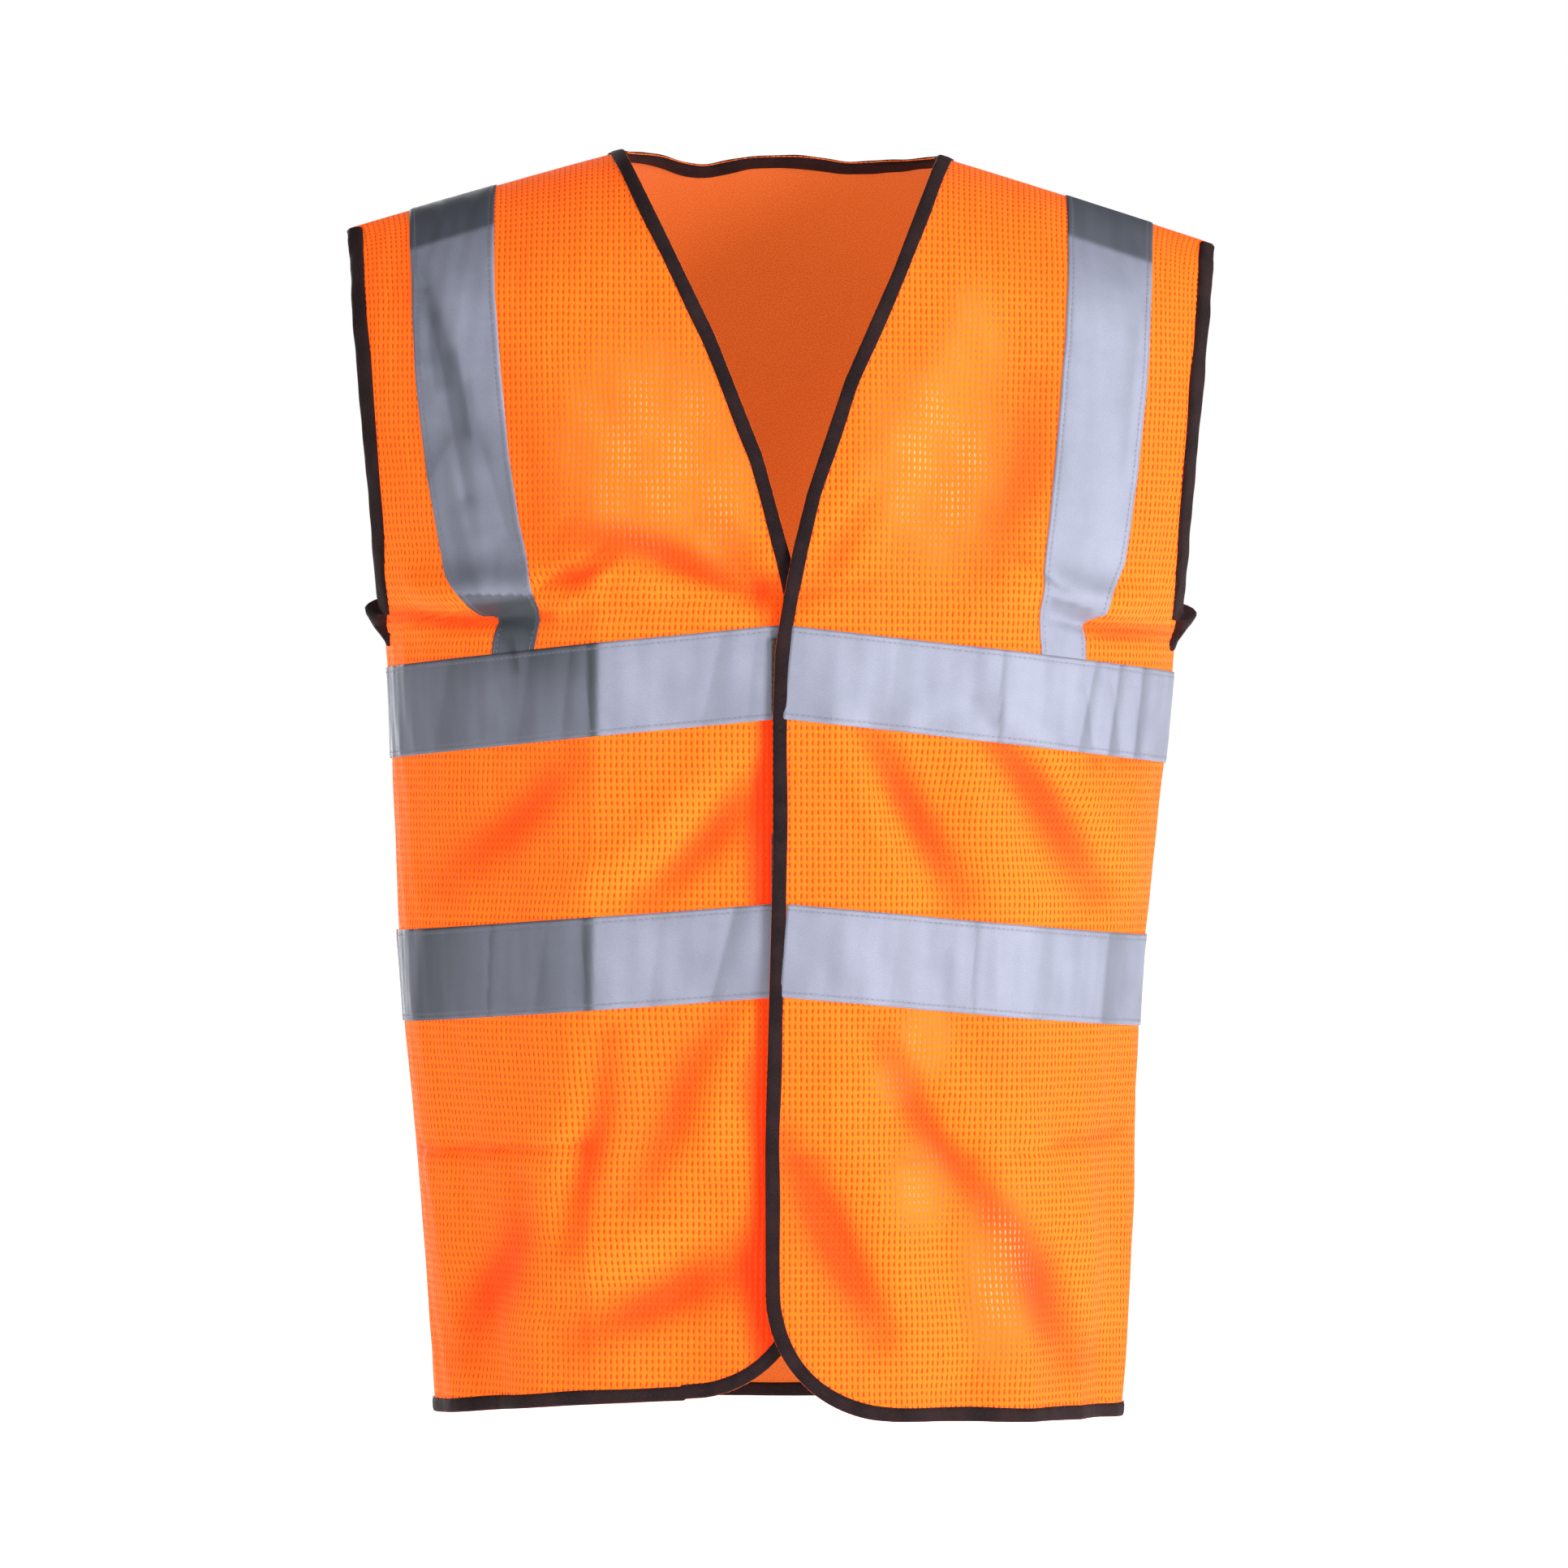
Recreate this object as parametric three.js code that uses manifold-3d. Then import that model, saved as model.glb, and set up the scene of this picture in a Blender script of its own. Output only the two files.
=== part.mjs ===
// A sleeveless high-visibility vest, in millimetres, +Z up, front towards -Y.
// Two front panels and a back panel of knitted mesh lie on the form of a wearer's body. Reflective
// tapes are sewn on their outside, a folded binding encloses every cut edge, and pairs of hook and
// loop patches close the front. The origin is midway between the two points where the shoulder
// seams meet the neck. Heights are measured from the hem and moved to the origin at the end.
import * as THREE from 'three';
import { mergeVertices } from 'three/addons/utils/BufferGeometryUtils.js';
import Module from 'manifold-3d';

const wasm = await Module();
wasm.setup();

// ---- The body form that the cloth lies on ----
const HEM_HALF_WIDTH = 185;
const CHEST_HALF_WIDTH = 216;
const SHOULDER_HALF_WIDTH = 237;
const NECK_HALF_WIDTH = 86;
const NECK_HEIGHT = 691;
const SHOULDER_DROP = 47;
const ARMHOLE_HEIGHT = 220;
const SHOULDER_TIP_HEIGHT = NECK_HEIGHT - SHOULDER_DROP;
const UNDERARM_HEIGHT = SHOULDER_TIP_HEIGHT - ARMHOLE_HEIGHT;
const FRONT_DEPTH = 130;
const BACK_DEPTH = 130;
const TOP_DEPTH = 84;
const SHOULDER_ROUNDING = 75;
const RIDGE_ROUNDING = 45;
const ARM_BULGE = 22;
const SECTION_POWER = 2.3;

// ---- Cloth, tape and binding ----
const FABRIC_THICKNESS = 0.8;
const TAPE_THICKNESS = 0.6;
const TAPE_WIDTH = 50;
const BINDING_WIDTH = 9;
const BINDING_THICKNESS = 0.7;
const GAP = 0.3;
// An armhole binding is seen at a slant from the front, so its outline is narrower than its tape.
const ARMHOLE_SEEN_WIDTH = BINDING_WIDTH * 0.7;
// The space inside a folded binding is cut a little past the end of its leaves, so it stays open.
const POCKET_MARGIN = 5;

// ---- Front edges ----
const CLOSURE_OVERLAP = 23;
const CLOSURE_CENTRE = 4;
const CORNER_RADIUS = 68;
const NECK_DEPTH = 308;
const BACK_NECK_DROP = 5;
const FRONT_HEM_RISE = 9;
// Where the V's curve is steered from, as shares of the way to the closure and of the neck's depth.
const V_UPPER_PULL = { across: 0.68, down: 0.52 };
const V_LOWER_PULL = { across: 1, down: 0.72 };
// The back neck is level over the middle share of its width, and its corners turn up past that.
const BACK_NECK_LEVEL = 0.6;
const BACK_NECK_TURN = 0.9;
// Outlines run past the shoulder ridge, so that the panels are cut right through there.
const OVERRUN_HEIGHT = 12;
const OVERRUN_WIDTH = 4;

// ---- Armholes ----
// Shares of the armhole's height at which its edge has a point, from above the shoulder tip down.
const ARMHOLE_STEPS = [1.03, 0.9, 0.7, 0.5, 0.3, 0.15, 0.06];
// At the underarm the edge turns outwards over a short slope, given as [outwards, up] steps.
const UNDERARM_CLEARANCE = 1.5;
const UNDERARM_TURN = [[2, 3], [12, 0]];

// ---- Bands and braces ----
const BAND_DROP = 16;
const BAND_SPACING = 144;
const UPPER_BAND_RISE = 22;
const LOWER_BAND_RISE = 17;
const BRACE_TOP_X = 180;
const BRACE_FOOT_X = 153;
const BACK_BRACE_FOOT_X = 166;
// A brace leans in towards its foot: most of the lean is near the foot, as this power says.
const BRACE_LEAN_POWER = 1.6;
// Shares of the way from the foot to the shoulder tip at which a brace's edges have a point.
const BRACE_STEPS = [0.3, 0.65];
const BRACE_TOP_BELOW_RIDGE = 25;

// ---- Hook and loop patches ----
const PATCH_WIDTH = 18;
const PATCH_HEIGHT = 40;
const PATCH_THICKNESS = 1;
const PATCH_COUNT = 4;

// ---- Care label ----
const LABEL_WIDTH = 36;
const LABEL_HEIGHT = 60;
const LABEL_THICKNESS = 0.6;
const LABEL_BASE_HEIGHT = 110;
const LABEL_TURN = THREE.MathUtils.degToRad(105);
const LABEL_CLEARANCE = 3;

// ---- Mesh steps ----
const COLUMNS = 16;
const WALL_ROWS = 13;
const CROWN_ROWS = 4;
const CURVE_STEPS = 7;

// ---- Layers, measured outwards from the inner side of the fabric ----
const FABRIC_OUTSIDE = FABRIC_THICKNESS;
const LEAF_OUTSIDE = FABRIC_OUTSIDE + GAP + BINDING_THICKNESS;
const LEAF_INSIDE = -GAP - BINDING_THICKNESS;
const TAPE_BASE = FABRIC_OUTSIDE + GAP;
const HOOK_BASE = Math.max(LEAF_OUTSIDE, TAPE_BASE + TAPE_THICKNESS) + GAP;
const HOOK_TOP = HOOK_BASE + PATCH_THICKNESS;
const LOOP_TOP = LEAF_INSIDE - GAP;
const LOOP_BASE = LOOP_TOP - PATCH_THICKNESS;
const FRONT_LIFT = HOOK_TOP + GAP - LOOP_BASE + GAP;
// The lift fades out across the front, between these two distances from the middle.
const LIFT_FADE = [CLOSURE_OVERLAP + 20, CLOSURE_OVERLAP + 75];

const REACH = 2 * Math.max(SHOULDER_HALF_WIDTH, CHEST_HALF_WIDTH, FRONT_DEPTH, BACK_DEPTH);
const FORM_BOTTOM = -30;
const SHARPEST_MITRE = 0.5;
const TOP_EDGE_X = CLOSURE_CENTRE - CLOSURE_OVERLAP / 2;
const UNDER_EDGE_X = CLOSURE_CENTRE + CLOSURE_OVERLAP / 2;

const { lerp, smoothstep } = THREE.MathUtils;
const share = (value, low, high) => (value - low) / (high - low);

// ---- The form: half width, depth and crown of the body at any height ----
function armholeEdge(z) {
  return lerp(CHEST_HALF_WIDTH, SHOULDER_HALF_WIDTH, share(z, UNDERARM_HEIGHT, SHOULDER_TIP_HEIGHT));
}

function halfWidth(z) {
  if (z <= UNDERARM_HEIGHT) return lerp(HEM_HALF_WIDTH, CHEST_HALF_WIDTH, z / UNDERARM_HEIGHT);
  const t = Math.min(1, share(z, UNDERARM_HEIGHT, SHOULDER_TIP_HEIGHT));
  return armholeEdge(Math.min(z, SHOULDER_TIP_HEIGHT)) + 4 * ARM_BULGE * t * (1 - t);
}

function ridgeHeight(x) {
  const slope = (NECK_HEIGHT - SHOULDER_TIP_HEIGHT) / (SHOULDER_HALF_WIDTH - NECK_HALF_WIDTH);
  const across = Math.hypot(x, RIDGE_ROUNDING) - Math.hypot(NECK_HALF_WIDTH, RIDGE_ROUNDING);
  return NECK_HEIGHT - slope * across;
}

function depth(z, side) {
  const full = side < 0 ? FRONT_DEPTH : BACK_DEPTH;
  return lerp(full, TOP_DEPTH, smoothstep(z, UNDERARM_HEIGHT, NECK_HEIGHT));
}

// How far the surface stands from the y = 0 plane, at any x and height.
function surfaceDepth(x, z, side) {
  const across = Math.min(1, Math.abs(x) / halfWidth(z));
  const crown = Math.min(1, Math.max(0, (ridgeHeight(x) - z) / SHOULDER_ROUNDING));
  const round = Math.sqrt(1 - across ** SECTION_POWER);
  return depth(z, side) * round * Math.sqrt(1 - (1 - crown) ** 2);
}

// Rows of one column run evenly up the wall, then over the crown by equal angles.
function rowHeight(row, ridge) {
  const crownBase = ridge - SHOULDER_ROUNDING;
  if (row <= WALL_ROWS) return lerp(FORM_BOTTOM, crownBase, row / WALL_ROWS);
  const angle = (Math.PI / 2) * (1 - (row - WALL_ROWS) / CROWN_ROWS);
  return ridge - SHOULDER_ROUNDING * (1 - Math.cos(angle));
}

// lift raises the front near the closure, for the panel that lies on top of the other one.
function formPoint(column, row, side, lift) {
  const angle = Math.PI * (column / COLUMNS - 0.5);
  const s = Math.sign(Math.sin(angle)) * Math.abs(Math.sin(angle)) ** (2 / SECTION_POWER);
  const z = rowHeight(row, ridgeHeight(s * SHOULDER_HALF_WIDTH));
  const crown = Math.max(0, (row - WALL_ROWS) / CROWN_ROWS);
  const flat = depth(z, side) * Math.cos(angle) * Math.cos((Math.PI / 2) * crown);
  const x = halfWidth(z) * s;
  const raised = side < 0 ? lift * (1 - smoothstep(x, ...LIFT_FADE)) * Math.sign(Math.round(flat)) : 0;
  return [x, side * (flat + raised), z];
}

function formGeometry(lift) {
  const rows = WALL_ROWS + CROWN_ROWS;
  const positions = [];
  const index = [];
  for (const side of [-1, 1]) {
    const start = positions.length / 3;
    for (let row = 0; row <= rows; row++) {
      for (let column = 0; column <= COLUMNS; column++) positions.push(...formPoint(column, row, side, lift));
    }
    for (let row = 0; row < rows; row++) {
      for (let column = 0; column < COLUMNS; column++) {
        const a = start + row * (COLUMNS + 1) + column;
        const b = a + COLUMNS + 1;
        if (side < 0) index.push(a, a + 1, b + 1, a, b + 1, b);
        else index.push(a, b + 1, a + 1, a, b, b + 1);
      }
    }
  }
  const back = (rows + 1) * (COLUMNS + 1);
  for (let column = 0; column < COLUMNS; column++) {
    index.push(column, back + column, back + column + 1, column, back + column + 1, column + 1);
  }
  const geometry = new THREE.BufferGeometry();
  geometry.setAttribute('position', new THREE.Float32BufferAttribute(positions, 3));
  geometry.setIndex(index);
  return dropFlatTriangles(mergeVertices(geometry, 1e-3));
}

function dropFlatTriangles(geometry) {
  const old = geometry.index.array;
  const kept = [];
  for (let i = 0; i < old.length; i += 3) {
    const [a, b, c] = [old[i], old[i + 1], old[i + 2]];
    if (a !== b && b !== c && c !== a) kept.push(a, b, c);
  }
  geometry.setIndex(kept);
  geometry.computeVertexNormals();
  return geometry;
}

// ---- Solids ----
function toSolid(geometry) {
  const bare = geometry.clone();
  bare.deleteAttribute('normal');
  bare.deleteAttribute('uv');
  const merged = mergeVertices(bare, 1e-4);
  const vertProperties = new Float32Array(merged.attributes.position.array);
  const triVerts = new Uint32Array(merged.index.array);
  return new wasm.Manifold(new wasm.Mesh({ numProp: 3, vertProperties, triVerts }));
}

function toGeometry(solid) {
  const mesh = solid.getMesh();
  const geometry = new THREE.BufferGeometry();
  geometry.setAttribute('position', new THREE.BufferAttribute(new Float32Array(mesh.vertProperties), 3));
  geometry.setIndex(new THREE.BufferAttribute(new Uint32Array(mesh.triVerts), 1));
  geometry.computeVertexNormals();
  return geometry;
}

const PLAIN_FORM = formGeometry(0);
const LIFTED_FORM = formGeometry(FRONT_LIFT);

function grownForm(form, distance) {
  const grown = form.clone();
  const { position, normal } = grown.attributes;
  const point = new THREE.Vector3();
  const outward = new THREE.Vector3();
  for (let i = 0; i < position.count; i++) {
    point.fromBufferAttribute(position, i);
    outward.fromBufferAttribute(normal, i);
    point.addScaledVector(outward, distance);
    position.setXYZ(i, point.x, point.y, point.z);
  }
  return toSolid(grown);
}

function layer(form, inside, outside) {
  return grownForm(form, outside).subtract(grownForm(form, inside));
}

// An outline in x and height, carried through the front half (side -1) or the back half (side 1).
function prism(points, side) {
  const outline = points.map(([x, z]) => new THREE.Vector2(x, z));
  if (THREE.ShapeUtils.isClockWise(outline)) outline.reverse();
  const geometry = new THREE.ExtrudeGeometry(new THREE.Shape(outline), { depth: REACH, bevelEnabled: false });
  geometry.rotateX(Math.PI / 2);
  geometry.translate(0, side < 0 ? -GAP / 2 : REACH + GAP / 2, 0);
  return toSolid(geometry);
}

// ---- Outlines ----
function pointsOf(path) {
  const points = path.getPoints(CURVE_STEPS);
  const distinct = points.filter((p, i) => i === 0 || p.distanceTo(points[i - 1]) > GAP);
  return distinct.map((p) => [p.x, p.y]);
}

// Each front edge runs from the neck down the V, along the closure, round a corner and along the hem.
function frontEdge(edgeX, hand) {
  const neckX = hand * NECK_HALF_WIDTH;
  const pulled = ({ across, down }) => [lerp(neckX, edgeX, across), NECK_HEIGHT - NECK_DEPTH * down];
  const cornerX = edgeX + hand * CORNER_RADIUS;
  const cornerZ = FRONT_HEM_RISE + CORNER_RADIUS;
  const path = new THREE.Path();
  path.moveTo(neckX + hand * OVERRUN_WIDTH, NECK_HEIGHT + OVERRUN_HEIGHT);
  path.lineTo(neckX, NECK_HEIGHT);
  path.bezierCurveTo(...pulled(V_UPPER_PULL), ...pulled(V_LOWER_PULL), edgeX, NECK_HEIGHT - NECK_DEPTH);
  path.lineTo(edgeX, cornerZ);
  path.absarc(cornerX, cornerZ, CORNER_RADIUS, hand > 0 ? Math.PI : 0, 1.5 * Math.PI, hand < 0);
  path.lineTo(hand * HEM_HALF_WIDTH, 0);
  path.lineTo(hand * REACH, 0);
  return pointsOf(path);
}

// The armhole edge runs from above the shoulder tip down to the underarm, then straight outwards.
function armholeOutline(hand) {
  const wall = ARMHOLE_STEPS.map((step) => {
    const z = lerp(UNDERARM_HEIGHT, SHOULDER_TIP_HEIGHT, step);
    return [hand * armholeEdge(z), z];
  });
  const foot = CHEST_HALF_WIDTH + UNDERARM_CLEARANCE;
  const turn = UNDERARM_TURN.map(([out, up]) => [hand * (foot + out), UNDERARM_HEIGHT + up]);
  return [...wall, ...turn, [hand * REACH, UNDERARM_HEIGHT]];
}

function backNeck() {
  const drop = NECK_HEIGHT - BACK_NECK_DROP;
  const overrun = NECK_HALF_WIDTH + OVERRUN_WIDTH;
  const level = NECK_HALF_WIDTH * BACK_NECK_LEVEL;
  const turn = NECK_HALF_WIDTH * BACK_NECK_TURN;
  const path = new THREE.Path();
  path.moveTo(-overrun, NECK_HEIGHT + OVERRUN_HEIGHT);
  path.lineTo(-NECK_HALF_WIDTH, NECK_HEIGHT);
  path.quadraticCurveTo(-turn, drop, -level, drop);
  path.lineTo(level, drop);
  path.quadraticCurveTo(turn, drop, NECK_HALF_WIDTH, NECK_HEIGHT);
  path.lineTo(overrun, NECK_HEIGHT + OVERRUN_HEIGHT);
  return pointsOf(path);
}

// A path moved sideways, to the right of its direction of travel, with mitred corners.
function shifted(path, distance) {
  return path.map(([x, z], i) => {
    const [px, pz] = path[Math.max(0, i - 1)];
    const [nx, nz] = path[Math.min(path.length - 1, i + 1)];
    const before = new THREE.Vector2(x - px, z - pz).normalize();
    const after = new THREE.Vector2(nx - x, nz - z).normalize();
    const along = before.clone().add(after).normalize();
    const facing = before.lengthSq() > 0 ? before : after;
    const mitre = distance / Math.max(SHARPEST_MITRE, along.dot(facing));
    return [x + along.y * mitre, z - along.x * mitre];
  });
}

const ribbon = (path, from, to) => [...shifted(path, from), ...shifted(path, to).reverse()];

function frontOutline(edgeX, hand) {
  const [corner] = frontEdge(edgeX, hand);
  const sky = NECK_HEIGHT + SHOULDER_ROUNDING;
  return [...frontEdge(edgeX, hand), ...armholeOutline(hand).reverse(),
    [hand * SHOULDER_HALF_WIDTH, sky], [corner[0], sky]];
}

function backOutline() {
  const sky = NECK_HEIGHT + SHOULDER_ROUNDING;
  const overrun = NECK_HALF_WIDTH + OVERRUN_WIDTH;
  return [...backNeck(), [overrun, sky], [SHOULDER_HALF_WIDTH, sky], ...armholeOutline(1),
    [REACH, 0], [-REACH, 0], ...armholeOutline(-1).reverse(), [-SHOULDER_HALF_WIDTH, sky],
    [-overrun, sky]];
}

// ---- Pieces ----
const TOP_EDGE = frontEdge(TOP_EDGE_X, 1);
const UNDER_EDGE = frontEdge(UNDER_EDGE_X, -1);

function panel(form, outline, side) {
  return layer(form, 0, FABRIC_OUTSIDE).intersect(prism(outline, side));
}

// A binding is a U-shaped fold round a cut edge. inward is +1 where the cloth lies to the path's right.
function binding(form, path, side, inward, width = BINDING_WIDTH) {
  const sleeve = prism(ribbon(path, -inward * (GAP + BINDING_THICKNESS), inward * width), side);
  const pocket = prism(ribbon(path, -inward * GAP, inward * (width + POCKET_MARGIN)), side);
  const fold = layer(form, LEAF_INSIDE, LEAF_OUTSIDE).intersect(sleeve);
  return fold.subtract(layer(form, -GAP, FABRIC_OUTSIDE + GAP).intersect(pocket));
}

function bandOutline(topHeight, rise, fromX, toX) {
  const height = (x) => topHeight + rise * Math.max(0, 1 - Math.abs(x) / halfWidth(topHeight));
  const middle = Math.sign(fromX + toX) * CHEST_HALF_WIDTH;
  const corners = [fromX, middle, toX];
  const top = corners.map((x) => [x, height(x)]);
  const bottom = corners.map((x) => [x, height(x) - TAPE_WIDTH]);
  return [...top, ...bottom.reverse()];
}

const bandTop = (number) => UNDERARM_HEIGHT - BAND_DROP - number * BAND_SPACING;

function frontBand(form, number, rise, edge, edgeX, hand) {
  const outline = bandOutline(bandTop(number), rise, edgeX, hand * REACH);
  const tape = layer(form, TAPE_BASE, TAPE_BASE + TAPE_THICKNESS).intersect(prism(outline, -1));
  return tape.subtract(prism(ribbon(edge, hand * CLOSURE_OVERLAP, -hand * (BINDING_WIDTH + GAP)), -1));
}

function backBand(number) {
  const top = bandTop(number);
  const outline = [[-REACH, top], [REACH, top], [REACH, top - TAPE_WIDTH], [-REACH, top - TAPE_WIDTH]];
  return layer(PLAIN_FORM, TAPE_BASE, TAPE_BASE + TAPE_THICKNESS).intersect(prism(outline, 1));
}

// The tape's width as it looks from the front, where the surface slopes away.
function seenWidth(x, z, side) {
  const slope = (surfaceDepth(x + 1, z, side) - surfaceDepth(x - 1, z, side)) / 2;
  return TAPE_WIDTH / Math.hypot(1, slope);
}

function brace(side, hand) {
  const rise = side < 0 ? UPPER_BAND_RISE : 0;
  const footX = side < 0 ? BRACE_FOOT_X : BACK_BRACE_FOOT_X;
  const foot = (x) => bandTop(0) + GAP + rise * (1 - x / halfWidth(bandTop(0)));
  const middle = BRACE_STEPS.map((step) => lerp(foot(footX), SHOULDER_TIP_HEIGHT, step));
  const heights = [foot(footX), ...middle, ridgeHeight(BRACE_TOP_X) - BRACE_TOP_BELOW_RIDGE];
  const centre = (z) => {
    const climbed = share(z, foot(footX), ridgeHeight(BRACE_TOP_X));
    return lerp(footX, BRACE_TOP_X, 1 - (1 - climbed) ** BRACE_LEAN_POWER);
  };
  const edgeAt = (z, sign) => centre(z) + (sign * seenWidth(centre(z), z, side)) / 2;
  const inner = heights.map((z) => [edgeAt(z, -1), z]);
  const outer = heights.map((z) => [edgeAt(z, 1), z]);
  inner[0][1] = foot(inner[0][0]);
  outer[0][1] = foot(outer[0][0]);
  const sky = NECK_HEIGHT + SHOULDER_ROUNDING;
  const half = TAPE_WIDTH / 2;
  const outline = [...inner, [BRACE_TOP_X - half, sky], [BRACE_TOP_X + half, sky], ...outer.reverse()];
  const placed = outline.map(([x, z]) => [hand * x, z]);
  return layer(PLAIN_FORM, TAPE_BASE, TAPE_BASE + TAPE_THICKNESS).intersect(prism(placed, side));
}

function patch(form, inside, outside, number) {
  const bottom = lerp(NECK_HEIGHT - NECK_DEPTH, CORNER_RADIUS, number / (PATCH_COUNT - 1));
  const top = bottom + PATCH_HEIGHT;
  const [low, high] = [CLOSURE_CENTRE - PATCH_WIDTH / 2, CLOSURE_CENTRE + PATCH_WIDTH / 2];
  const outline = [[low, top], [high, top], [high, bottom], [low, bottom]];
  return layer(form, inside, outside).intersect(prism(outline, -1));
}

// The label hangs inside the wearer's left side seam, and lies back along the back panel.
function careLabel() {
  const geometry = new THREE.BoxGeometry(LABEL_WIDTH, LABEL_THICKNESS, LABEL_HEIGHT);
  geometry.translate(LABEL_WIDTH / 2, 0, LABEL_HEIGHT / 2);
  geometry.rotateZ(LABEL_TURN);
  geometry.translate(halfWidth(LABEL_BASE_HEIGHT) - LABEL_CLEARANCE, GAP, LABEL_BASE_HEIGHT);
  return geometry;
}

// ---- Materials ----
function finish(color, roughness, metalness = 0) {
  return new THREE.MeshStandardMaterial({ color, roughness, metalness });
}

const finishes = {
  fabric: () => finish(0xff7a14, 0.85),
  tape: () => finish(0xb4b8cc, 0.4, 0.3),
  binding: () => finish(0x2c2024, 0.6),
  hook: () => finish(0xf07a28, 0.8),
  loop: () => finish(0xe8762c, 0.95),
  label: () => finish(0xf2f0ea, 0.7),
};

const vest = new THREE.Group();
vest.position.z = -NECK_HEIGHT;

function add(name, kind, shape) {
  const geometry = shape.isBufferGeometry ? shape : toGeometry(shape);
  const mesh = new THREE.Mesh(geometry, finishes[kind]());
  mesh.name = name;
  vest.add(mesh);
}

// ---- Assembly ----
add('back_panel', 'fabric', panel(PLAIN_FORM, backOutline(), 1));
add('left_front_panel', 'fabric', panel(LIFTED_FORM, frontOutline(TOP_EDGE_X, 1), -1));
add('right_front_panel', 'fabric', panel(PLAIN_FORM, frontOutline(UNDER_EDGE_X, -1), -1));

add('back_neck_binding', 'binding', binding(PLAIN_FORM, backNeck(), 1, 1));
add('back_hem_binding', 'binding', binding(PLAIN_FORM, [[-REACH, 0], [REACH, 0]], 1, -1));
add('left_front_binding', 'binding', binding(LIFTED_FORM, TOP_EDGE, -1, -1));
add('right_front_binding', 'binding', binding(PLAIN_FORM, UNDER_EDGE, -1, 1));

for (const [handName, hand] of [['left', 1], ['right', -1]]) {
  for (const [sideName, side] of [['front', -1], ['back', 1]]) {
    const fold = binding(PLAIN_FORM, armholeOutline(hand), side, hand, ARMHOLE_SEEN_WIDTH);
    add(`${handName}_armhole_${sideName}_binding`, 'binding', fold);
    add(`${handName}_brace_${sideName}_tape`, 'tape', brace(side, hand));
  }
}

const RISES = { upper: UPPER_BAND_RISE, lower: LOWER_BAND_RISE };
Object.entries(RISES).forEach(([name, rise], number) => {
  add(`${name}_back_band`, 'tape', backBand(number));
  add(`${name}_left_band`, 'tape', frontBand(LIFTED_FORM, number, rise, TOP_EDGE, TOP_EDGE_X, 1));
  add(`${name}_right_band`, 'tape', frontBand(PLAIN_FORM, number, rise, UNDER_EDGE, UNDER_EDGE_X, -1));
});

for (let number = 0; number < PATCH_COUNT; number++) {
  add(`hook_patch_${number + 1}`, 'hook', patch(PLAIN_FORM, HOOK_BASE, HOOK_TOP, number));
  add(`loop_patch_${number + 1}`, 'loop', patch(LIFTED_FORM, LOOP_BASE, LOOP_TOP, number));
}

add('care_label', 'label', careLabel());

export default vest;
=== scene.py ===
# A sleeveless high-visibility vest of orange knitted mesh, as it hangs on a wearer's body.
# Lengths are in millimetres above the hem until a piece is placed in the frame, in metres.
import math
from functools import partial

import bmesh
import bpy
import numpy as np
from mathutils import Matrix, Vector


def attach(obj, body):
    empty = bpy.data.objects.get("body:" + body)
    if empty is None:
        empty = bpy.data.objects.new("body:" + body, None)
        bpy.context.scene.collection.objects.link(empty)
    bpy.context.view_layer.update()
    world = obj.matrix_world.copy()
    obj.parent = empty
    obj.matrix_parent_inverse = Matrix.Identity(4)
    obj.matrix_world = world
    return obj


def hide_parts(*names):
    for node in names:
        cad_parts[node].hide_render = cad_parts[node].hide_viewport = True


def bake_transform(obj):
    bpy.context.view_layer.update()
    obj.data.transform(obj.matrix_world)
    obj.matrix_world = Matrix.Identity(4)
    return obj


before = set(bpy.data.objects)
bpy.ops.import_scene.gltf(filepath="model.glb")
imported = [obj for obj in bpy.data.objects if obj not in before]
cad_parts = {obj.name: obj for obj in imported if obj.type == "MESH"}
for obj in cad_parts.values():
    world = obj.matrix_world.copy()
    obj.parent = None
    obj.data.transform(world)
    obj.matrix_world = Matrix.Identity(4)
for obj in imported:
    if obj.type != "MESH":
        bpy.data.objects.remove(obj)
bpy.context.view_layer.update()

# ---- Camera, floor and light ----
# A long lens looks straight at the front from chest height. One broad soft light stands to the
# right of the camera, a weak one to its left and one behind, over a plain white floor.
MM = 0.001
NECK_HEIGHT = 691.0
CAMERA_DISTANCE = 5.0
CAMERA_HEIGHT = 345.0
LENS = 208.7
FLOOR_DROP = 300.0


def frame_height(z):
    return (z - NECK_HEIGHT) * MM


camera_data = bpy.data.cameras.new("camera")
camera_data.lens = LENS
camera_data.clip_end = 100
camera = bpy.data.objects.new("camera", camera_data)
camera.location = (0.0017, -CAMERA_DISTANCE, frame_height(CAMERA_HEIGHT))
camera.rotation_euler = (math.radians(90), 0, 0)
bpy.context.scene.collection.objects.link(camera)
bpy.context.scene.camera = camera


def area_light(name, place, size, power):
    data = bpy.data.lights.new(name, "AREA")
    data.shape, data.size, data.energy = "DISK", size, power
    light = bpy.data.objects.new(name, data)
    light.location = place
    aim = Vector((0, 0, frame_height(CAMERA_HEIGHT))) - Vector(place)
    light.rotation_euler = aim.to_track_quat("-Z", "Y").to_euler()
    bpy.context.scene.collection.objects.link(light)


area_light("key_light", (3.1, -2.9, 0.3), 1.8, 205)
area_light("fill_light", (-2.6, -3.4, 0.2), 2.6, 20)
area_light("back_light", (-1.4, 3.8, 0.5), 2.6, 120)


def linked_node(tree, kind, **settings):
    made = tree.nodes.new(kind)
    for key, value in settings.items():
        setattr(made, key, value)
    return made


def feed(tree, socket, value):
    """Links a socket to another node's output, or sets it where the value is a plain one."""
    if isinstance(value, bpy.types.NodeSocket):
        tree.links.new(value, socket)
    elif value is not None:
        socket.default_value = value


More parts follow.
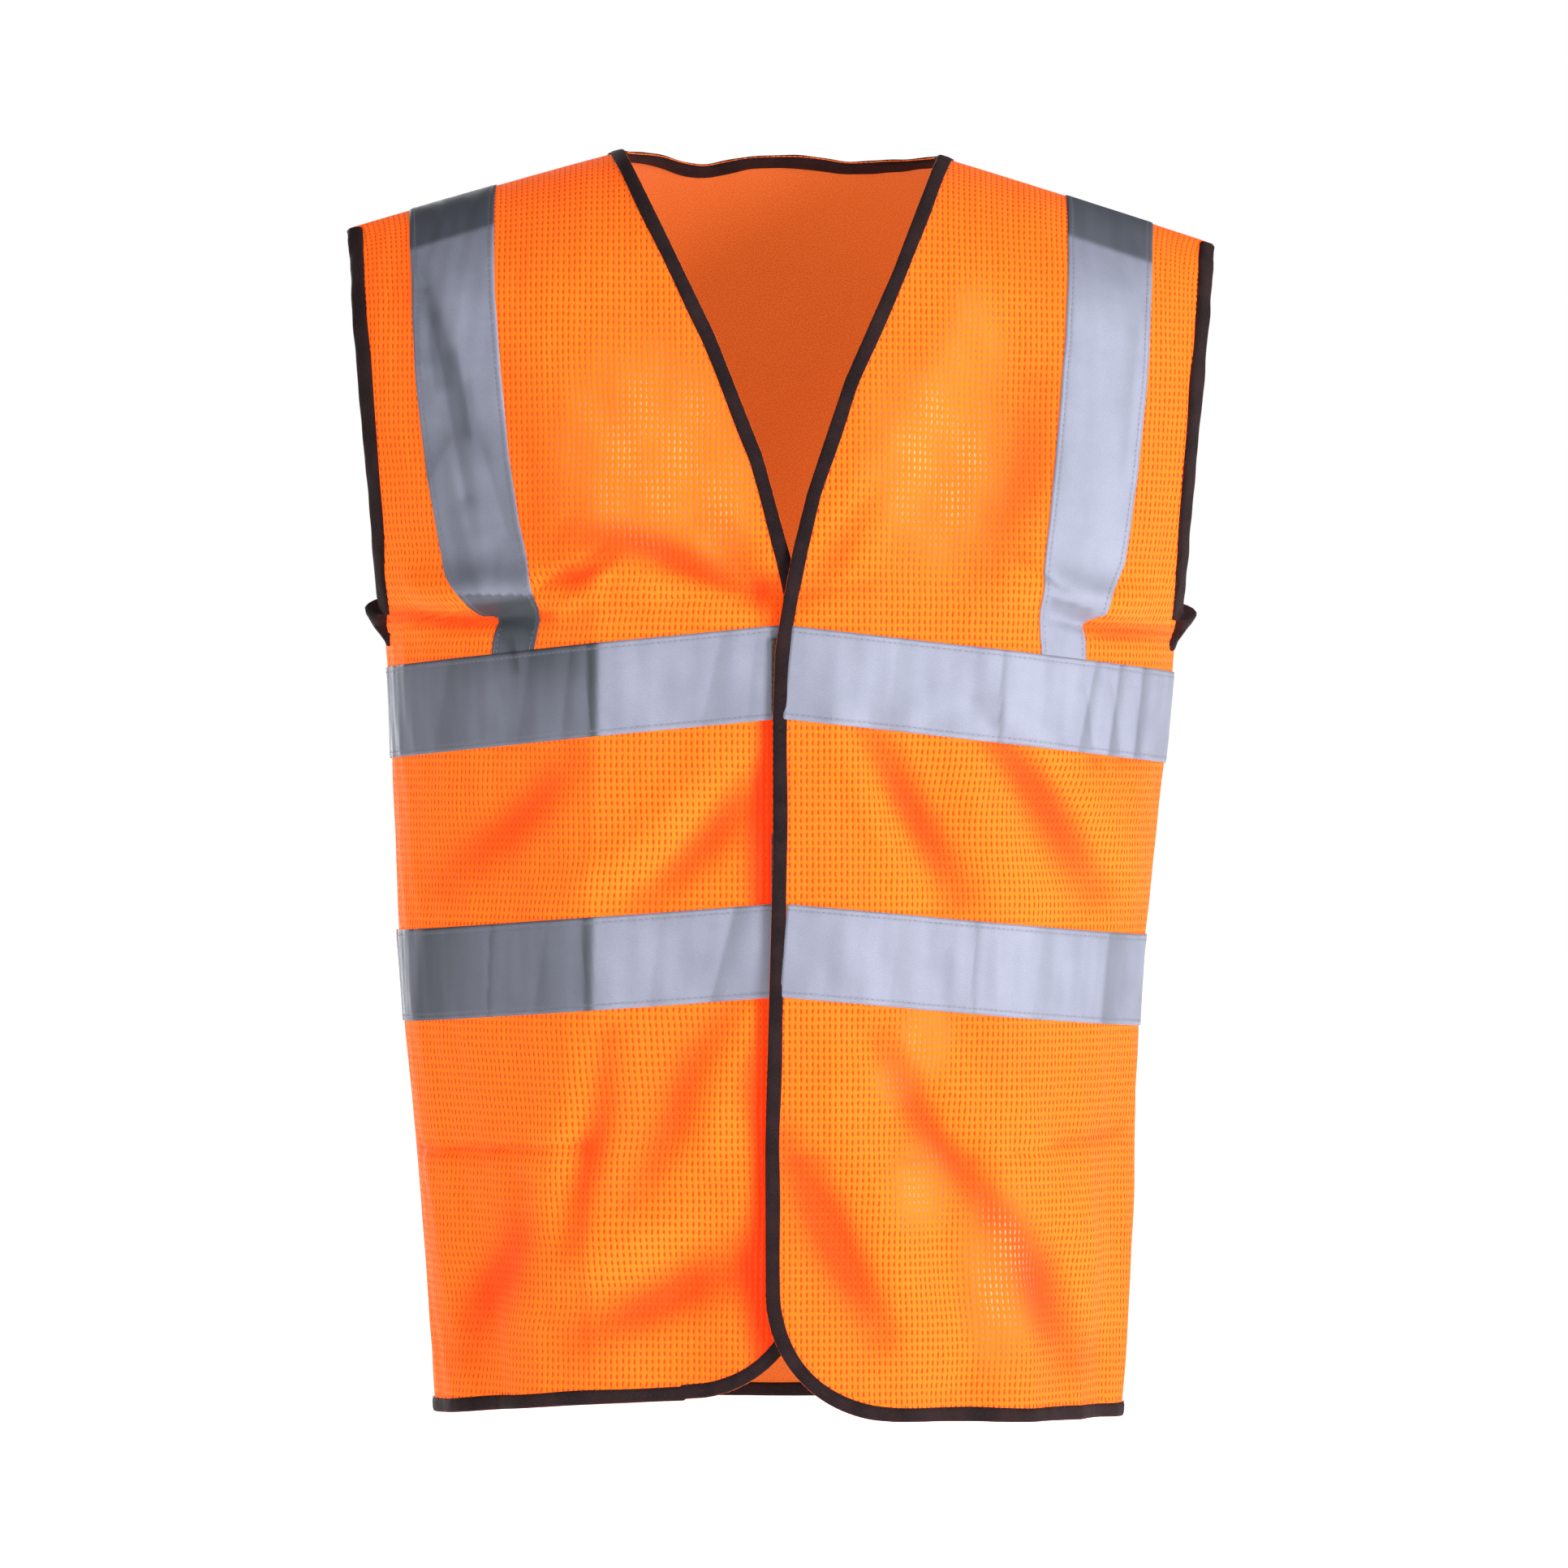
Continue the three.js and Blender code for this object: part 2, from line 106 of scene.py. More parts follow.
def fed(tree, made, **values):
    """Feeds a node's inputs by name, with _ for each space, and gives the node back."""
    for label, value in values.items():
        feed(tree, made.inputs[label.replace("_", " ")], value)
    return made


AMBIENT = 0.4
OVERHEAD = 0.12
world = bpy.data.worlds.new("studio")
world.use_nodes = True
world_tree = world.node_tree
world_tree.nodes["Background"].inputs["Color"].default_value = (1, 1, 1, 1)
seen = linked_node(world_tree, "ShaderNodeLightPath")
direction = linked_node(world_tree, "ShaderNodeTexCoord")
height = linked_node(world_tree, "ShaderNodeSeparateXYZ")
feed(world_tree, height.inputs[0], direction.outputs["Generated"])
overhead = fed(world_tree, linked_node(world_tree, "ShaderNodeMapRange", interpolation_type="SMOOTHSTEP"),
               Value=height.outputs["Z"], From_Min=0.1, From_Max=0.8, To_Min=AMBIENT, To_Max=OVERHEAD)
strength = fed(world_tree, linked_node(world_tree, "ShaderNodeMapRange"),
               Value=seen.outputs["Is Camera Ray"], To_Min=overhead.outputs[0])
fed(world_tree, world_tree.nodes["Background"], Strength=strength.outputs[0])
bpy.context.scene.world = world
bpy.context.scene.view_settings.view_transform = "Standard"

floor_mesh = bmesh.new()
bmesh.ops.create_grid(floor_mesh, x_segments=1, y_segments=1, size=30)
bmesh.ops.translate(floor_mesh, vec=(0, 0, frame_height(-FLOOR_DROP)), verts=floor_mesh.verts)
floor_data = bpy.data.meshes.new("floor")
floor_mesh.to_mesh(floor_data)
floor_mesh.free()
floor = bpy.data.objects.new("floor", floor_data)
bpy.context.scene.collection.objects.link(floor)
floor_paint = bpy.data.materials.new("floor_paint")
floor_paint.use_nodes = True
floor_shader = floor_paint.node_tree.nodes["Principled BSDF"]
fed(floor_paint.node_tree, floor_shader, Base_Color=(0.92, 0.92, 0.92, 1), Roughness=1.0,
    Specular_IOR_Level=0.0, Emission_Color=(1, 1, 1, 1), Emission_Strength=1.0)
floor_data.materials.append(floor_paint)

# ---- The two front panels ----
# Each front is one cut of knitted polyester mesh, laid round the wearer's chest from the side seam
# to the closure. The wearer's left front lies over the right one. The form is a rounded section
# that narrows to the hem and turns over the shoulders; folds stand along its normal.
HEM_HALF_WIDTH = 185.0
CHEST_HALF_WIDTH = 216.0
SHOULDER_HALF_WIDTH = 237.0
NECK_HALF_WIDTH = 86.0
SHOULDER_TIP = 644.0
UNDERARM = 424.0
BODY_DEPTH = 130.0
TOP_DEPTH = 84.0
SHOULDER_ROUNDING = 75.0
RIDGE_ROUNDING = 45.0
ARM_BULGE = 22.0
SECTION_POWER = 2.3
CLOTH = 0.5
CLOTH_MIDDLE = 0.4
CLOSURE_LIFT = 5.4
LEFT, RIGHT = 1, -1
CORNER_RADIUS = 68.0
SIDE_ANGLE = math.pi / 2


def smooth(value, low, high):
    t = np.clip((value - low) / (high - low), 0, 1)
    return t * t * (3 - 2 * t)


def hump(value, middle, width):
    return np.exp(-((value - middle) / width) ** 2)


def armhole_x(z):
    t = np.clip((z - UNDERARM) / (SHOULDER_TIP - UNDERARM), 0, 1)
    return CHEST_HALF_WIDTH + (SHOULDER_HALF_WIDTH - CHEST_HALF_WIDTH) * t


def half_width(z):
    below = HEM_HALF_WIDTH + (CHEST_HALF_WIDTH - HEM_HALF_WIDTH) * z / UNDERARM
    t = np.clip((z - UNDERARM) / (SHOULDER_TIP - UNDERARM), 0, 1)
    return np.where(z <= UNDERARM, below, armhole_x(z) + 4 * ARM_BULGE * t * (1 - t))


def ridge_height(x):
    slope = (NECK_HEIGHT - SHOULDER_TIP) / (SHOULDER_HALF_WIDTH - NECK_HALF_WIDTH)
    at_neck = math.hypot(NECK_HALF_WIDTH, RIDGE_ROUNDING)
    return NECK_HEIGHT - slope * (np.hypot(x, RIDGE_ROUNDING) - at_neck)


def across(angle):
    sine = np.sin(angle)
    return np.sign(sine) * np.abs(sine) ** (2 / SECTION_POWER)


def crown_base(angle):
    return ridge_height(across(angle) * SHOULDER_HALF_WIDTH) - SHOULDER_ROUNDING


def seam_rise(angle):
    """How far up the cloth, measured along it, the shoulder seam lies."""
    return crown_base(angle) + SHOULDER_ROUNDING * math.pi / 2


def height_at(angle, rise):
    base = crown_base(angle)
    turn = np.clip((rise - base) / SHOULDER_ROUNDING, 0, math.pi / 2)
    return np.minimum(rise, base) + SHOULDER_ROUNDING * np.sin(turn)


def on_form(angle, rise):
    """A point of the body form: angle 0 is the front, a quarter turn the wearer's left side."""
    base = crown_base(angle)
    turn = np.clip((rise - base) / SHOULDER_ROUNDING, 0, math.pi / 2 + 0.4)
    z = np.minimum(rise, base) + SHOULDER_ROUNDING * np.sin(turn)
    full = BODY_DEPTH + (TOP_DEPTH - BODY_DEPTH) * smooth(z, UNDERARM, NECK_HEIGHT)
    return np.stack([half_width(z) * across(angle), -full * np.cos(angle) * np.cos(turn), z], -1)


def form_directions(angle, rise):
    """How the form runs on across and up at each point, per unit of angle and of rise."""
    step, reach = 1e-3, 0.5
    across_it = (on_form(angle + step, rise) - on_form(angle - step, rise)) / (2 * step)
    up_it = (on_form(angle, rise + reach) - on_form(angle, rise - reach)) / (2 * reach)
    return across_it, up_it


def unit(vectors):
    return vectors / np.maximum(np.linalg.norm(vectors, axis=-1, keepdims=True), 1e-9)


def locate(x, z, back=False):
    """Angle and rise on the form of a point seen from the front at x and z."""
    s = np.clip(x / half_width(z), -1, 1)
    angle = np.sign(s) * np.arcsin(np.abs(s) ** (SECTION_POWER / 2))
    base = ridge_height(s * SHOULDER_HALF_WIDTH) - SHOULDER_ROUNDING
    turn = np.arcsin(np.clip((z - base) / SHOULDER_ROUNDING, 0, 1))
    rise = np.where(z <= base, z, base + SHOULDER_ROUNDING * turn)
    return (np.where(angle >= 0, math.pi, -math.pi) - angle if back else angle), rise


# Each fold runs from (x, z) to (x, z) with a width and a height; below 0 it is a valley. A round
# fold is a soft roll, a crease has a sharp top, and a ridge has flat flanks that meet in a line.
FRONT_FOLDS = {
    "round": [
        ((-222, 449), (-120, 452), 11, 9.0), ((-222, 432), (-124, 438), 5, -6.5),
        ((-122, 455), (-92, 462), 5, -5.5), ((-124, 444), (-94, 449), 5, 4.0),
        ((222, 445), (140, 450), 11, 7.0), ((222, 430), (146, 435), 5, -5.5),
        ((-116, 590), (-18, 464), 16, 5.0), ((-70, 524), (-8, 452), 8, -4.0),
        ((-116, 484), (-12, 448), 9, -5.0), ((-104, 462), (-8, 434), 8, 4.4),
        ((-150, 600), (-128, 470), 12, -1.4), ((108, 610), (22, 464), 18, 4.6),
        ((60, 524), (10, 446), 10, -3.8), ((140, 560), (112, 462), 14, -3.4),
        ((30, 372), (66, 286), 11, 5.0), ((46, 380), (94, 284), 10, -5.4),
        ((74, 380), (136, 284), 13, 5.4), ((106, 384), (172, 290), 11, -5.4),
        ((140, 372), (196, 296), 10, 3.0), ((-20, 366), (-112, 280), 14, 5.0),
        ((-10, 352), (-70, 282), 11, -5.0), ((-112, 360), (-180, 292), 13, -4.4),
        ((-2, 154), (54, 54), 13, -6.5), ((26, 180), (90, 36), 13, 5.0), ((10, 232), (58, 176), 12, 3.0),
        ((56, 208), (106, 112), 10, -4.6), ((80, 216), (136, 100), 11, 4.6),
        ((104, 144), (162, 36), 12, -5.4), ((130, 170), (180, 60), 11, 4.0),
        ((-14, 216), (-54, 130), 13, 4.4), ((-22, 226), (-78, 120), 12, -5.0),
        ((-24, 84), (-98, 50), 14, -5.6), ((-30, 120), (-110, 84), 13, 4.4),
        ((-86, 206), (-114, 98), 9, -4.4), ((-104, 196), (-136, 96), 12, 3.6),
        ((-134, 128), (-166, 36), 13, -5.4), ((-188, 566), (-160, 480), 8, 2.6),
    ],
    "ridge": [
        ((-97, 560), (-97, 10), 46, 9.0), ((119, 560), (119, 10), 40, 5.0),
    ],
    "crease": [
        ((-194, 612), (-170, 500), 9, -3.4), ((-172, 560), (-148, 480), 9, -2.2),
        ((-158, 440), (-116, 444), 8, -2.0), ((-126, 452), (-96, 469), 4, -3.2),
        ((-118, 445), (-88, 452), 4, -2.6), ((-10, 446), (-62, 462), 4, -2.6),
        ((-8, 440), (-56, 444), 4, -2.2), ((-12, 452), (-46, 488), 4, -2.2),
        ((10, 446), (48, 452), 4, -1.8), ((150, 452), (128, 470), 4, -2.0),
        ((166, 398), (172, 358), 5, -2.4), ((181, 400), (187, 360), 5, -2.4),
        ((194, 400), (198, 360), 5, -2.0), ((-150, 396), (-146, 366), 5, -1.0),
        ((-196, 144), (-102, 150), 4, -3.0), ((4, 143), (76, 144), 3, -1.4),
        ((108, 144), (188, 156), 4, -2.2),
    ],
}
BACK_FOLDS = {
    "ridge": [
        ((-92, 640), (-92, 10), 40, 3.4), ((96, 640), (96, 10), 40, 3.4),
    ],
    "round": [
        ((-200, 448), (-70, 440), 13, 4.6), ((-196, 430), (-90, 424), 9, -3.6),
        ((200, 448), (66, 442), 13, 4.2), ((196, 430), (90, 424), 9, -3.4),
        ((-160, 620), (-46, 480), 20, 3.4), ((158, 620), (52, 470), 20, 3.2),
        ((-40, 350), (-120, 286), 14, 3.0), ((50, 352), (120, 284), 14, 3.0),
        ((-40, 232), (-86, 30), 19, 4.2), ((34, 236), (58, 24), 19, 4.0),
        ((126, 240), (156, 30), 16, 3.6),
    ],
    "crease": [
        ((-176, 147), (-20, 147), 3, -1.4), ((30, 148), (176, 147), 3, -1.4),
    ],
}


def beside_line(x, z, start, end):
    """How far along a line from start to end a place lies, as a share, and its distance from the line."""
    dx, dz = end[0] - start[0], end[1] - start[1]
    run = ((x - start[0]) * dx + (z - start[1]) * dz) / (dx * dx + dz * dz)
    t = np.clip(run, 0, 1)
    return run, np.hypot(x - start[0] - t * dx, z - start[1] - t * dz)


def fold_height(x, z, folds):
    """The folds' height at a place. Their lines wander a little, so that none is ruler-straight."""
    x_bent = x + 3.4 * np.sin(z / 31 + 1.0) + 1.6 * np.sin(z / 13 + x / 47)
    z_bent = z + 3.0 * np.sin(x / 27 + 0.4) + 1.3 * np.sin(x / 11 + z / 39)
    total = np.zeros_like(x)
    for shape, start, end, width, height in ((shape, *line) for shape in folds for line in folds[shape]):
        px, pz = (x_bent, z_bent) if shape == "round" else (x, z)
        run, distance = beside_line(px, pz, start, end)
        away = distance / width
        if shape == "round":
            profile = np.exp(-away * away) * (0.35 + 0.65 * np.sin(math.pi * np.clip(run, 0.05, 0.95)))
        elif shape == "crease":
            profile = np.exp(-away)
        else:
            side = np.abs(px - start[0]) / width
            profile = np.where(side < 0.82, 1 - side, 0.18 * np.exp(-(side - 0.82) / 0.18))
            profile = profile * smooth(run, -0.02, 0.2) * (1 - smooth(run, 0.9, 1.02))
        total += height * profile
    return total


def flutes(angle, z):
    """The soft upright waves that the hem hangs in, and the small unevenness of knitted cloth."""
    low = 1 - smooth(z, 30, 330)
    waves = 3.0 * low * np.sin(9 * angle + 0.8) + 1.7 * low * np.sin(17 * angle + 2.0 + z / 160)
    small = 0.55 * np.sin(angle * 31 + z / 37) * np.sin(z / 29 + angle * 13)
    fine = 0.22 * np.sin(angle * 71 + z / 17) * np.sin(z / 12 - angle * 29)
    return waves + small + fine


FRONT_SKIN = {LEFT: ("lifted", FRONT_FOLDS), RIGHT: ("flat", FRONT_FOLDS)}
BACK_SKIN = ("flat", BACK_FOLDS)
SEAM_DIP = 0.7
RIDGE_FADE, SIDE_FADE, ARMHOLE_FADE, CLOSURE_FADE = (2, 60), (8, 34), (2, 34), (25, 92)


def relief(point, angle, rise, skin):
    """How far the cloth stands off the form: its folds, the hem's waves, and the seams' grooves."""
    lift, folds = skin
    x, z = point[..., 0], point[..., 2]
    to_ridge = seam_rise(angle) - rise
    to_side = np.abs(SIDE_ANGLE - np.abs(angle)) * BODY_DEPTH
    to_armhole = np.where(z > UNDERARM, armhole_x(z) - np.abs(x), BODY_DEPTH)
    raised = fold_height(x, z, folds) * smooth(to_ridge, *RIDGE_FADE) * smooth(to_side, *SIDE_FADE)
    raised = raised * (0.15 + 0.85 * smooth(to_armhole, *ARMHOLE_FADE))
    raised = raised + flutes(angle, z) * smooth(to_ridge, 0, 40)
    below_arm = 1 - smooth(z, UNDERARM - 8, UNDERARM)
    raised = raised - SEAM_DIP * (hump(to_ridge, 0, 2.2) + hump(to_side, 0, 2.2) * below_arm)
    if lift == "lifted":
        raised = raised + CLOSURE_LIFT * (1 - smooth(x, *CLOSURE_FADE))
    return raised


def cloth(angle, rise, out, skin):
    """Points on the cloth, or out from its middle along its normal."""
    point = on_form(angle, rise)
    across_it, up_it = form_directions(angle, rise)
    raised = CLOTH_MIDDLE + relief(point, angle, rise, skin) + out
    return point + unit(np.cross(across_it, up_it)) * raised[..., None]


def slide(angle, rise, move):
    """Angle and rise after a move along the form, given as a vector that lies nearly on it."""
    target = on_form(angle, rise) + move
    for _ in range(5):
        across_it, up_it = form_directions(angle, rise)
        miss = target - on_form(angle, rise)
        pairs = (across_it, across_it), (across_it, up_it), (up_it, up_it)
        aa, ab, bb = ((p * q).sum(-1) for p, q in pairs)
        ma, mb = (miss * across_it).sum(-1), (miss * up_it).sum(-1)
        det = np.maximum(aa * bb - ab * ab, 1e-6)
        angle = angle + (ma * bb - mb * ab) / det
        rise = rise + (mb * aa - ma * ab) / det
    return angle, rise


HEM_LEAN, SHOULDER_LEAN = 0.006, 0.012
WAIST_SWAY, HEM_SWAY = 5.6, 2.6


def hanging_shift(points):
    """The slight lean and sideways sway that the vest hangs with, at each point of the form."""
    x, z = points[..., 0], points[..., 2]
    lean = x * (HEM_LEAN + SHOULDER_LEAN * smooth(z, 450, 650))
    sway = (WAIST_SWAY * hump(z, 225, 120) + HEM_SWAY * hump(z, 0, 110)) * smooth(np.abs(x), 30, 150)
    return np.stack([-sway, 0 * x, -lean], -1)


def place_in_frame(points):
    """From millimetres above the hem to the frame, in metres from the neck."""
    return (points + hanging_shift(points) - (0, 0, NECK_HEIGHT)) * MM


def measured_uv(points):
    """Distances along the cloth, in metres: across from the first column, up from the first row."""
    step = np.linalg.norm(np.diff(points, axis=1), axis=-1)
    run = np.concatenate([np.zeros((len(points), 1)), np.cumsum(step, axis=1)], axis=1)
    rise = np.linalg.norm(np.diff(points, axis=0), axis=-1).mean(axis=1)
    up = np.concatenate([[0], np.cumsum(rise)])[:, None] + np.zeros_like(run)
    return np.stack([run, up], -1) * MM


def finished(name, bm, materials, thickness=0.0):
    """Makes the object, and gives a sheet its thickness."""
    mesh = bpy.data.meshes.new(name)
    bm.to_mesh(mesh)
    bm.free()
    piece = bpy.data.objects.new(name, mesh)
    bpy.context.scene.collection.objects.link(piece)
    for material in materials:
        mesh.materials.append(material)
    if thickness:
        solid = piece.modifiers.new("thickness", "SOLIDIFY")
        solid.thickness = thickness * MM
        solid.offset = 0
        solid.material_offset = len(materials) - 1
    return piece


def laid_grid(points, uv, painted_shade=None, pale=None):
    """A grid from Blender's own operator, laid on a table of points, with a UV map in metres."""
    rows, columns = points.shape[:2]
    bm = bmesh.new()
    bmesh.ops.create_grid(bm, x_segments=columns - 1, y_segments=rows - 1, size=0.5)
    bm.verts.ensure_lookup_table()
    flat = np.array([v.co[:2] for v in bm.verts]) + 0.5
    column = np.rint(flat[:, 0] * (columns - 1)).astype(int)
    row = np.rint(flat[:, 1] * (rows - 1)).astype(int)
    for vert, co in zip(bm.verts, place_in_frame(points)[row, column]):
        vert.co = co
    layer = bm.loops.layers.uv.new("cloth")
    table = uv[row, column]
    for label, values in (("painted_shade", painted_shade), ("pale", pale)):
        if values is not None:
            painted = bm.verts.layers.float.new(label)
            for vert, value in zip(bm.verts, values[row, column]):
                vert[painted] = value
    for face in bm.faces:
        face.smooth = True
        for loop in face.loops:
            loop[layer].uv = table[loop.vert.index]
    return bm


def top_edge_x(z):
    """The free edge of the wearer's left front, seen from the front."""
    neckline = np.interp(z, [383, 417, 443, 470, 500, 561, 623, 691],
                         [-4.2, -3.0, 1.3, 6.5, 14.0, 34.1, 60.5, 86.0])
    closure = np.interp(z, [60, 150, 240, 300], [-8.0, -8.4, -6.0, -4.3])
    return np.where(z > 383, neckline, closure)


def under_edge_x(z):
    """The free edge of the wearer's right front, which the other front covers below the neckline."""
    return np.interp(z, [70, 385, 430, 465, 521, 587, 691], [16.0, 16.0, 12.5, 5.6, -9.6, -35.7, -86.0])


FRONT_HEM = {LEFT: 3.6, RIGHT: 14.6}


def front_edge_x(z, hand):
    edge = top_edge_x(z) if hand == LEFT else under_edge_x(z)
    drop = np.clip(FRONT_HEM[hand] + CORNER_RADIUS - z, 0, CORNER_RADIUS)
    return edge + hand * (CORNER_RADIUS - np.sqrt(CORNER_RADIUS**2 - drop**2))


def hem_height(angle, hand):
    return FRONT_HEM[hand] * (1 - np.abs(across(angle)) ** 2.2)


def side_x(z, hand):
    return hand * np.where(z < UNDERARM, half_width(z), armhole_x(z))


def on_boundary(v, x_at, hem, start, back=False):
    """Angle where each row of a panel meets an edge that is given as x at each height."""
    angle = np.full_like(v, start)
    for _ in range(60):
        low = hem(angle)
        z = height_at(angle, low + (seam_rise(angle) - low) * v)
        angle = 0.5 * angle + 0.5 * locate(x_at(z), z, back)[0]
    return angle


def panel_rows(count, corner_rows, total=730.0):
    """Rows up a panel, closer together low down, where the front corner is rounded."""
    quarter = np.linspace(0, math.pi / 2, corner_rows, endpoint=False)
    low = CORNER_RADIUS * (1 - np.cos(quarter)) / total
    return np.concatenate([low, np.linspace(CORNER_RADIUS / total, 1, count - corner_rows)])


PANEL_COLUMNS, PANEL_ROWS, CORNER_ROWS = 104, 250, 30
rows = panel_rows(PANEL_ROWS, CORNER_ROWS)


def front_edges(hand):
    hem = lambda angle: hem_height(angle, hand)
    inner = on_boundary(rows, lambda z: front_edge_x(z, hand), hem, 0.3 * hand)
    outer = on_boundary(rows, lambda z: side_x(z, hand), hem, 1.4 * hand)
    return inner, outer


def front_rise(angle, v, hand):
    low = hem_height(angle, hand)
    return low + (seam_rise(angle) - low) * v


def math_node(operation, tree, first, second=None):
    made = linked_node(tree, "ShaderNodeMath", operation=operation)
    for socket, value in zip(made.inputs, (first, second)):
        feed(tree, socket, value)
    return made.outputs[0]


plus, minus, times, over = (partial(math_node, kind) for kind in ("ADD", "SUBTRACT", "MULTIPLY", "DIVIDE"))


def noise(tree, vector, scale, detail=2.0, roughness=0.5):
    made = linked_node(tree, "ShaderNodeTexNoise")
    return fed(tree, made, Vector=vector, Scale=scale, Detail=detail, Roughness=roughness).outputs["Fac"]


def span(tree, value, low, high, to_low=0.0, to_high=1.0):
    made = linked_node(tree, "ShaderNodeMapRange", interpolation_type="SMOOTHSTEP")
    return fed(tree, made, Value=value, From_Min=low, From_Max=high, To_Min=to_low, To_Max=to_high).outputs[0]


def blend_colour(tree, factor, first, second):
    mix = linked_node(tree, "ShaderNodeMix", data_type="RGBA")
    for place, value in ((0, factor), (6, first), (7, second)):
        feed(tree, mix.inputs[place], value)
    return mix.outputs[2]


def shared_group(name, inputs, outputs):
    tree = bpy.data.node_groups.new(name, "ShaderNodeTree")
    for label, kind, default in inputs:
        socket = tree.interface.new_socket(name=label, in_out="INPUT", socket_type=kind)
        if default is not None:
            socket.default_value = default
    for label in outputs:
        tree.interface.new_socket(name=label, in_out="OUTPUT", socket_type="NodeSocketFloat")
    return tree, tree.nodes.new("NodeGroupInput"), tree.nodes.new("NodeGroupOutput")


VECTOR, NUMBER = "NodeSocketVector", "NodeSocketFloat"


def knitted_mesh():
    """Upright ribs with rows of small oval holes between them. Puts out the holes and a height."""
    tree, given, result = shared_group(
        "knitted_mesh",
        [("Vector", VECTOR, None), ("Column mm", NUMBER, 3.1), ("Course mm", NUMBER, 4.1),
         ("Hole Width", NUMBER, 0.17), ("Hole Length", NUMBER, 0.33)],
        ["Hole", "Height", "Rib"])
    split = linked_node(tree, "ShaderNodeSeparateXYZ")
    feed(tree, split.inputs[0], given.outputs["Vector"])
    u = over(tree, times(tree, split.outputs[0], 1000), given.outputs["Column mm"])
    v = over(tree, times(tree, split.outputs[1], 1000), given.outputs["Course mm"])
    wander = minus(tree, noise(tree, given.outputs["Vector"], 220.0), 0.5)
    fu = minus(tree, math_node("FRACT", tree, plus(tree, u, times(tree, wander, 0.35))), 0.5)
    fv = minus(tree, math_node("FRACT", tree, plus(tree, v, times(tree, wander, 0.5))), 0.5)
    du = over(tree, fu, given.outputs["Hole Width"])
    dv = over(tree, fv, given.outputs["Hole Length"])
    away = math_node("SQRT", tree, plus(tree, times(tree, du, du), times(tree, dv, dv)))
    hole = span(tree, away, 0.7, 1.15, 1.0, 0.0)
    rib = math_node("COSINE", tree, times(tree, fu, 2 * math.pi))
    loops = math_node("SINE", tree, times(tree, v, 2 * math.pi * 5))
    body = minus(tree, times(tree, loops, 0.10), times(tree, rib, 0.28))
    fed(tree, result, Hole=hole, Rib=rib, Height=minus(tree, body, hole))
    return tree


def fine_grain():
    """The fine grain of spun yarn: a close weave broken up by noise. Puts out a height and a fleck."""
    tree, given, result = shared_group(
        "fine_grain", [("Vector", VECTOR, None), ("Thread mm", NUMBER, 0.5)], ["Height", "Fleck"])
    split = linked_node(tree, "ShaderNodeSeparateXYZ")
    feed(tree, split.inputs[0], given.outputs["Vector"])
    waves = []
    for axis in (0, 1):
        turns = over(tree, times(tree, split.outputs[axis], 1000 * 2 * math.pi), given.outputs["Thread mm"])
        waves.append(math_node("SINE", tree, turns))
    weave = times(tree, waves[0], waves[1])
    fleck = noise(tree, given.outputs["Vector"], 1400.0, 3.0, 0.7)
    fed(tree, result, Fleck=span(tree, fleck, 0.3, 0.7), Height=plus(tree, times(tree, weave, 0.4), fleck))
    return tree


KNIT, GRAIN = knitted_mesh(), fine_grain()


def new_finish(name, roughness, sheen=0.0, metallic=0.0, specular=0.5):
    material = bpy.data.materials.new(name)
    material.use_nodes = True
    shader = material.node_tree.nodes["Principled BSDF"]
    fed(material.node_tree, shader, Roughness=roughness, Sheen_Weight=sheen, Metallic=metallic,
        Specular_IOR_Level=specular)
    return material, material.node_tree, shader


def bump(tree, shader, height, distance, strength=1.0, before=None):
    made = fed(tree, linked_node(tree, "ShaderNodeBump"), Distance=distance, Strength=strength,
               Height=height, Normal=before)
    fed(tree, shader, Normal=made.outputs["Normal"])
    return made.outputs["Normal"]


def placed_group(tree, group, vector, **values):
    return fed(tree, linked_node(tree, "ShaderNodeGroup", node_tree=group), Vector=vector, **values).outputs


def cloth_uv(tree):
    return linked_node(tree, "ShaderNodeUVMap", uv_map="cloth").outputs[0]


def attribute(tree, name):
    return linked_node(tree, "ShaderNodeAttribute", attribute_name=name).outputs["Fac"]


BRIGHT_ORANGE = (1.0, 0.160, 0.008, 1)
SOFT_ORANGE = (1.0, 0.128, 0.004, 1)
# The red orange is painted shade: the cloth is blended towards it in its valleys and beside the closure.
RED_ORANGE = (1.0, 0.026, 0.0, 1)
# The pale hole colour is painted light, put in the holes where light would come through.
PALE_HOLE = (0.95, 0.35, 0.20, 1)
INSIDE_ORANGES = (0.56, 0.122, 0.022, 1), (0.38, 0.070, 0.010, 1)
# Both glows are steady emission, painted light. The outer one stands for the cloth's fluorescence and lifts
# its shade; the inside one fills the shade inside the vest.
FLUORESCENCE, INSIDE_GLOW = 0.50, 0.72


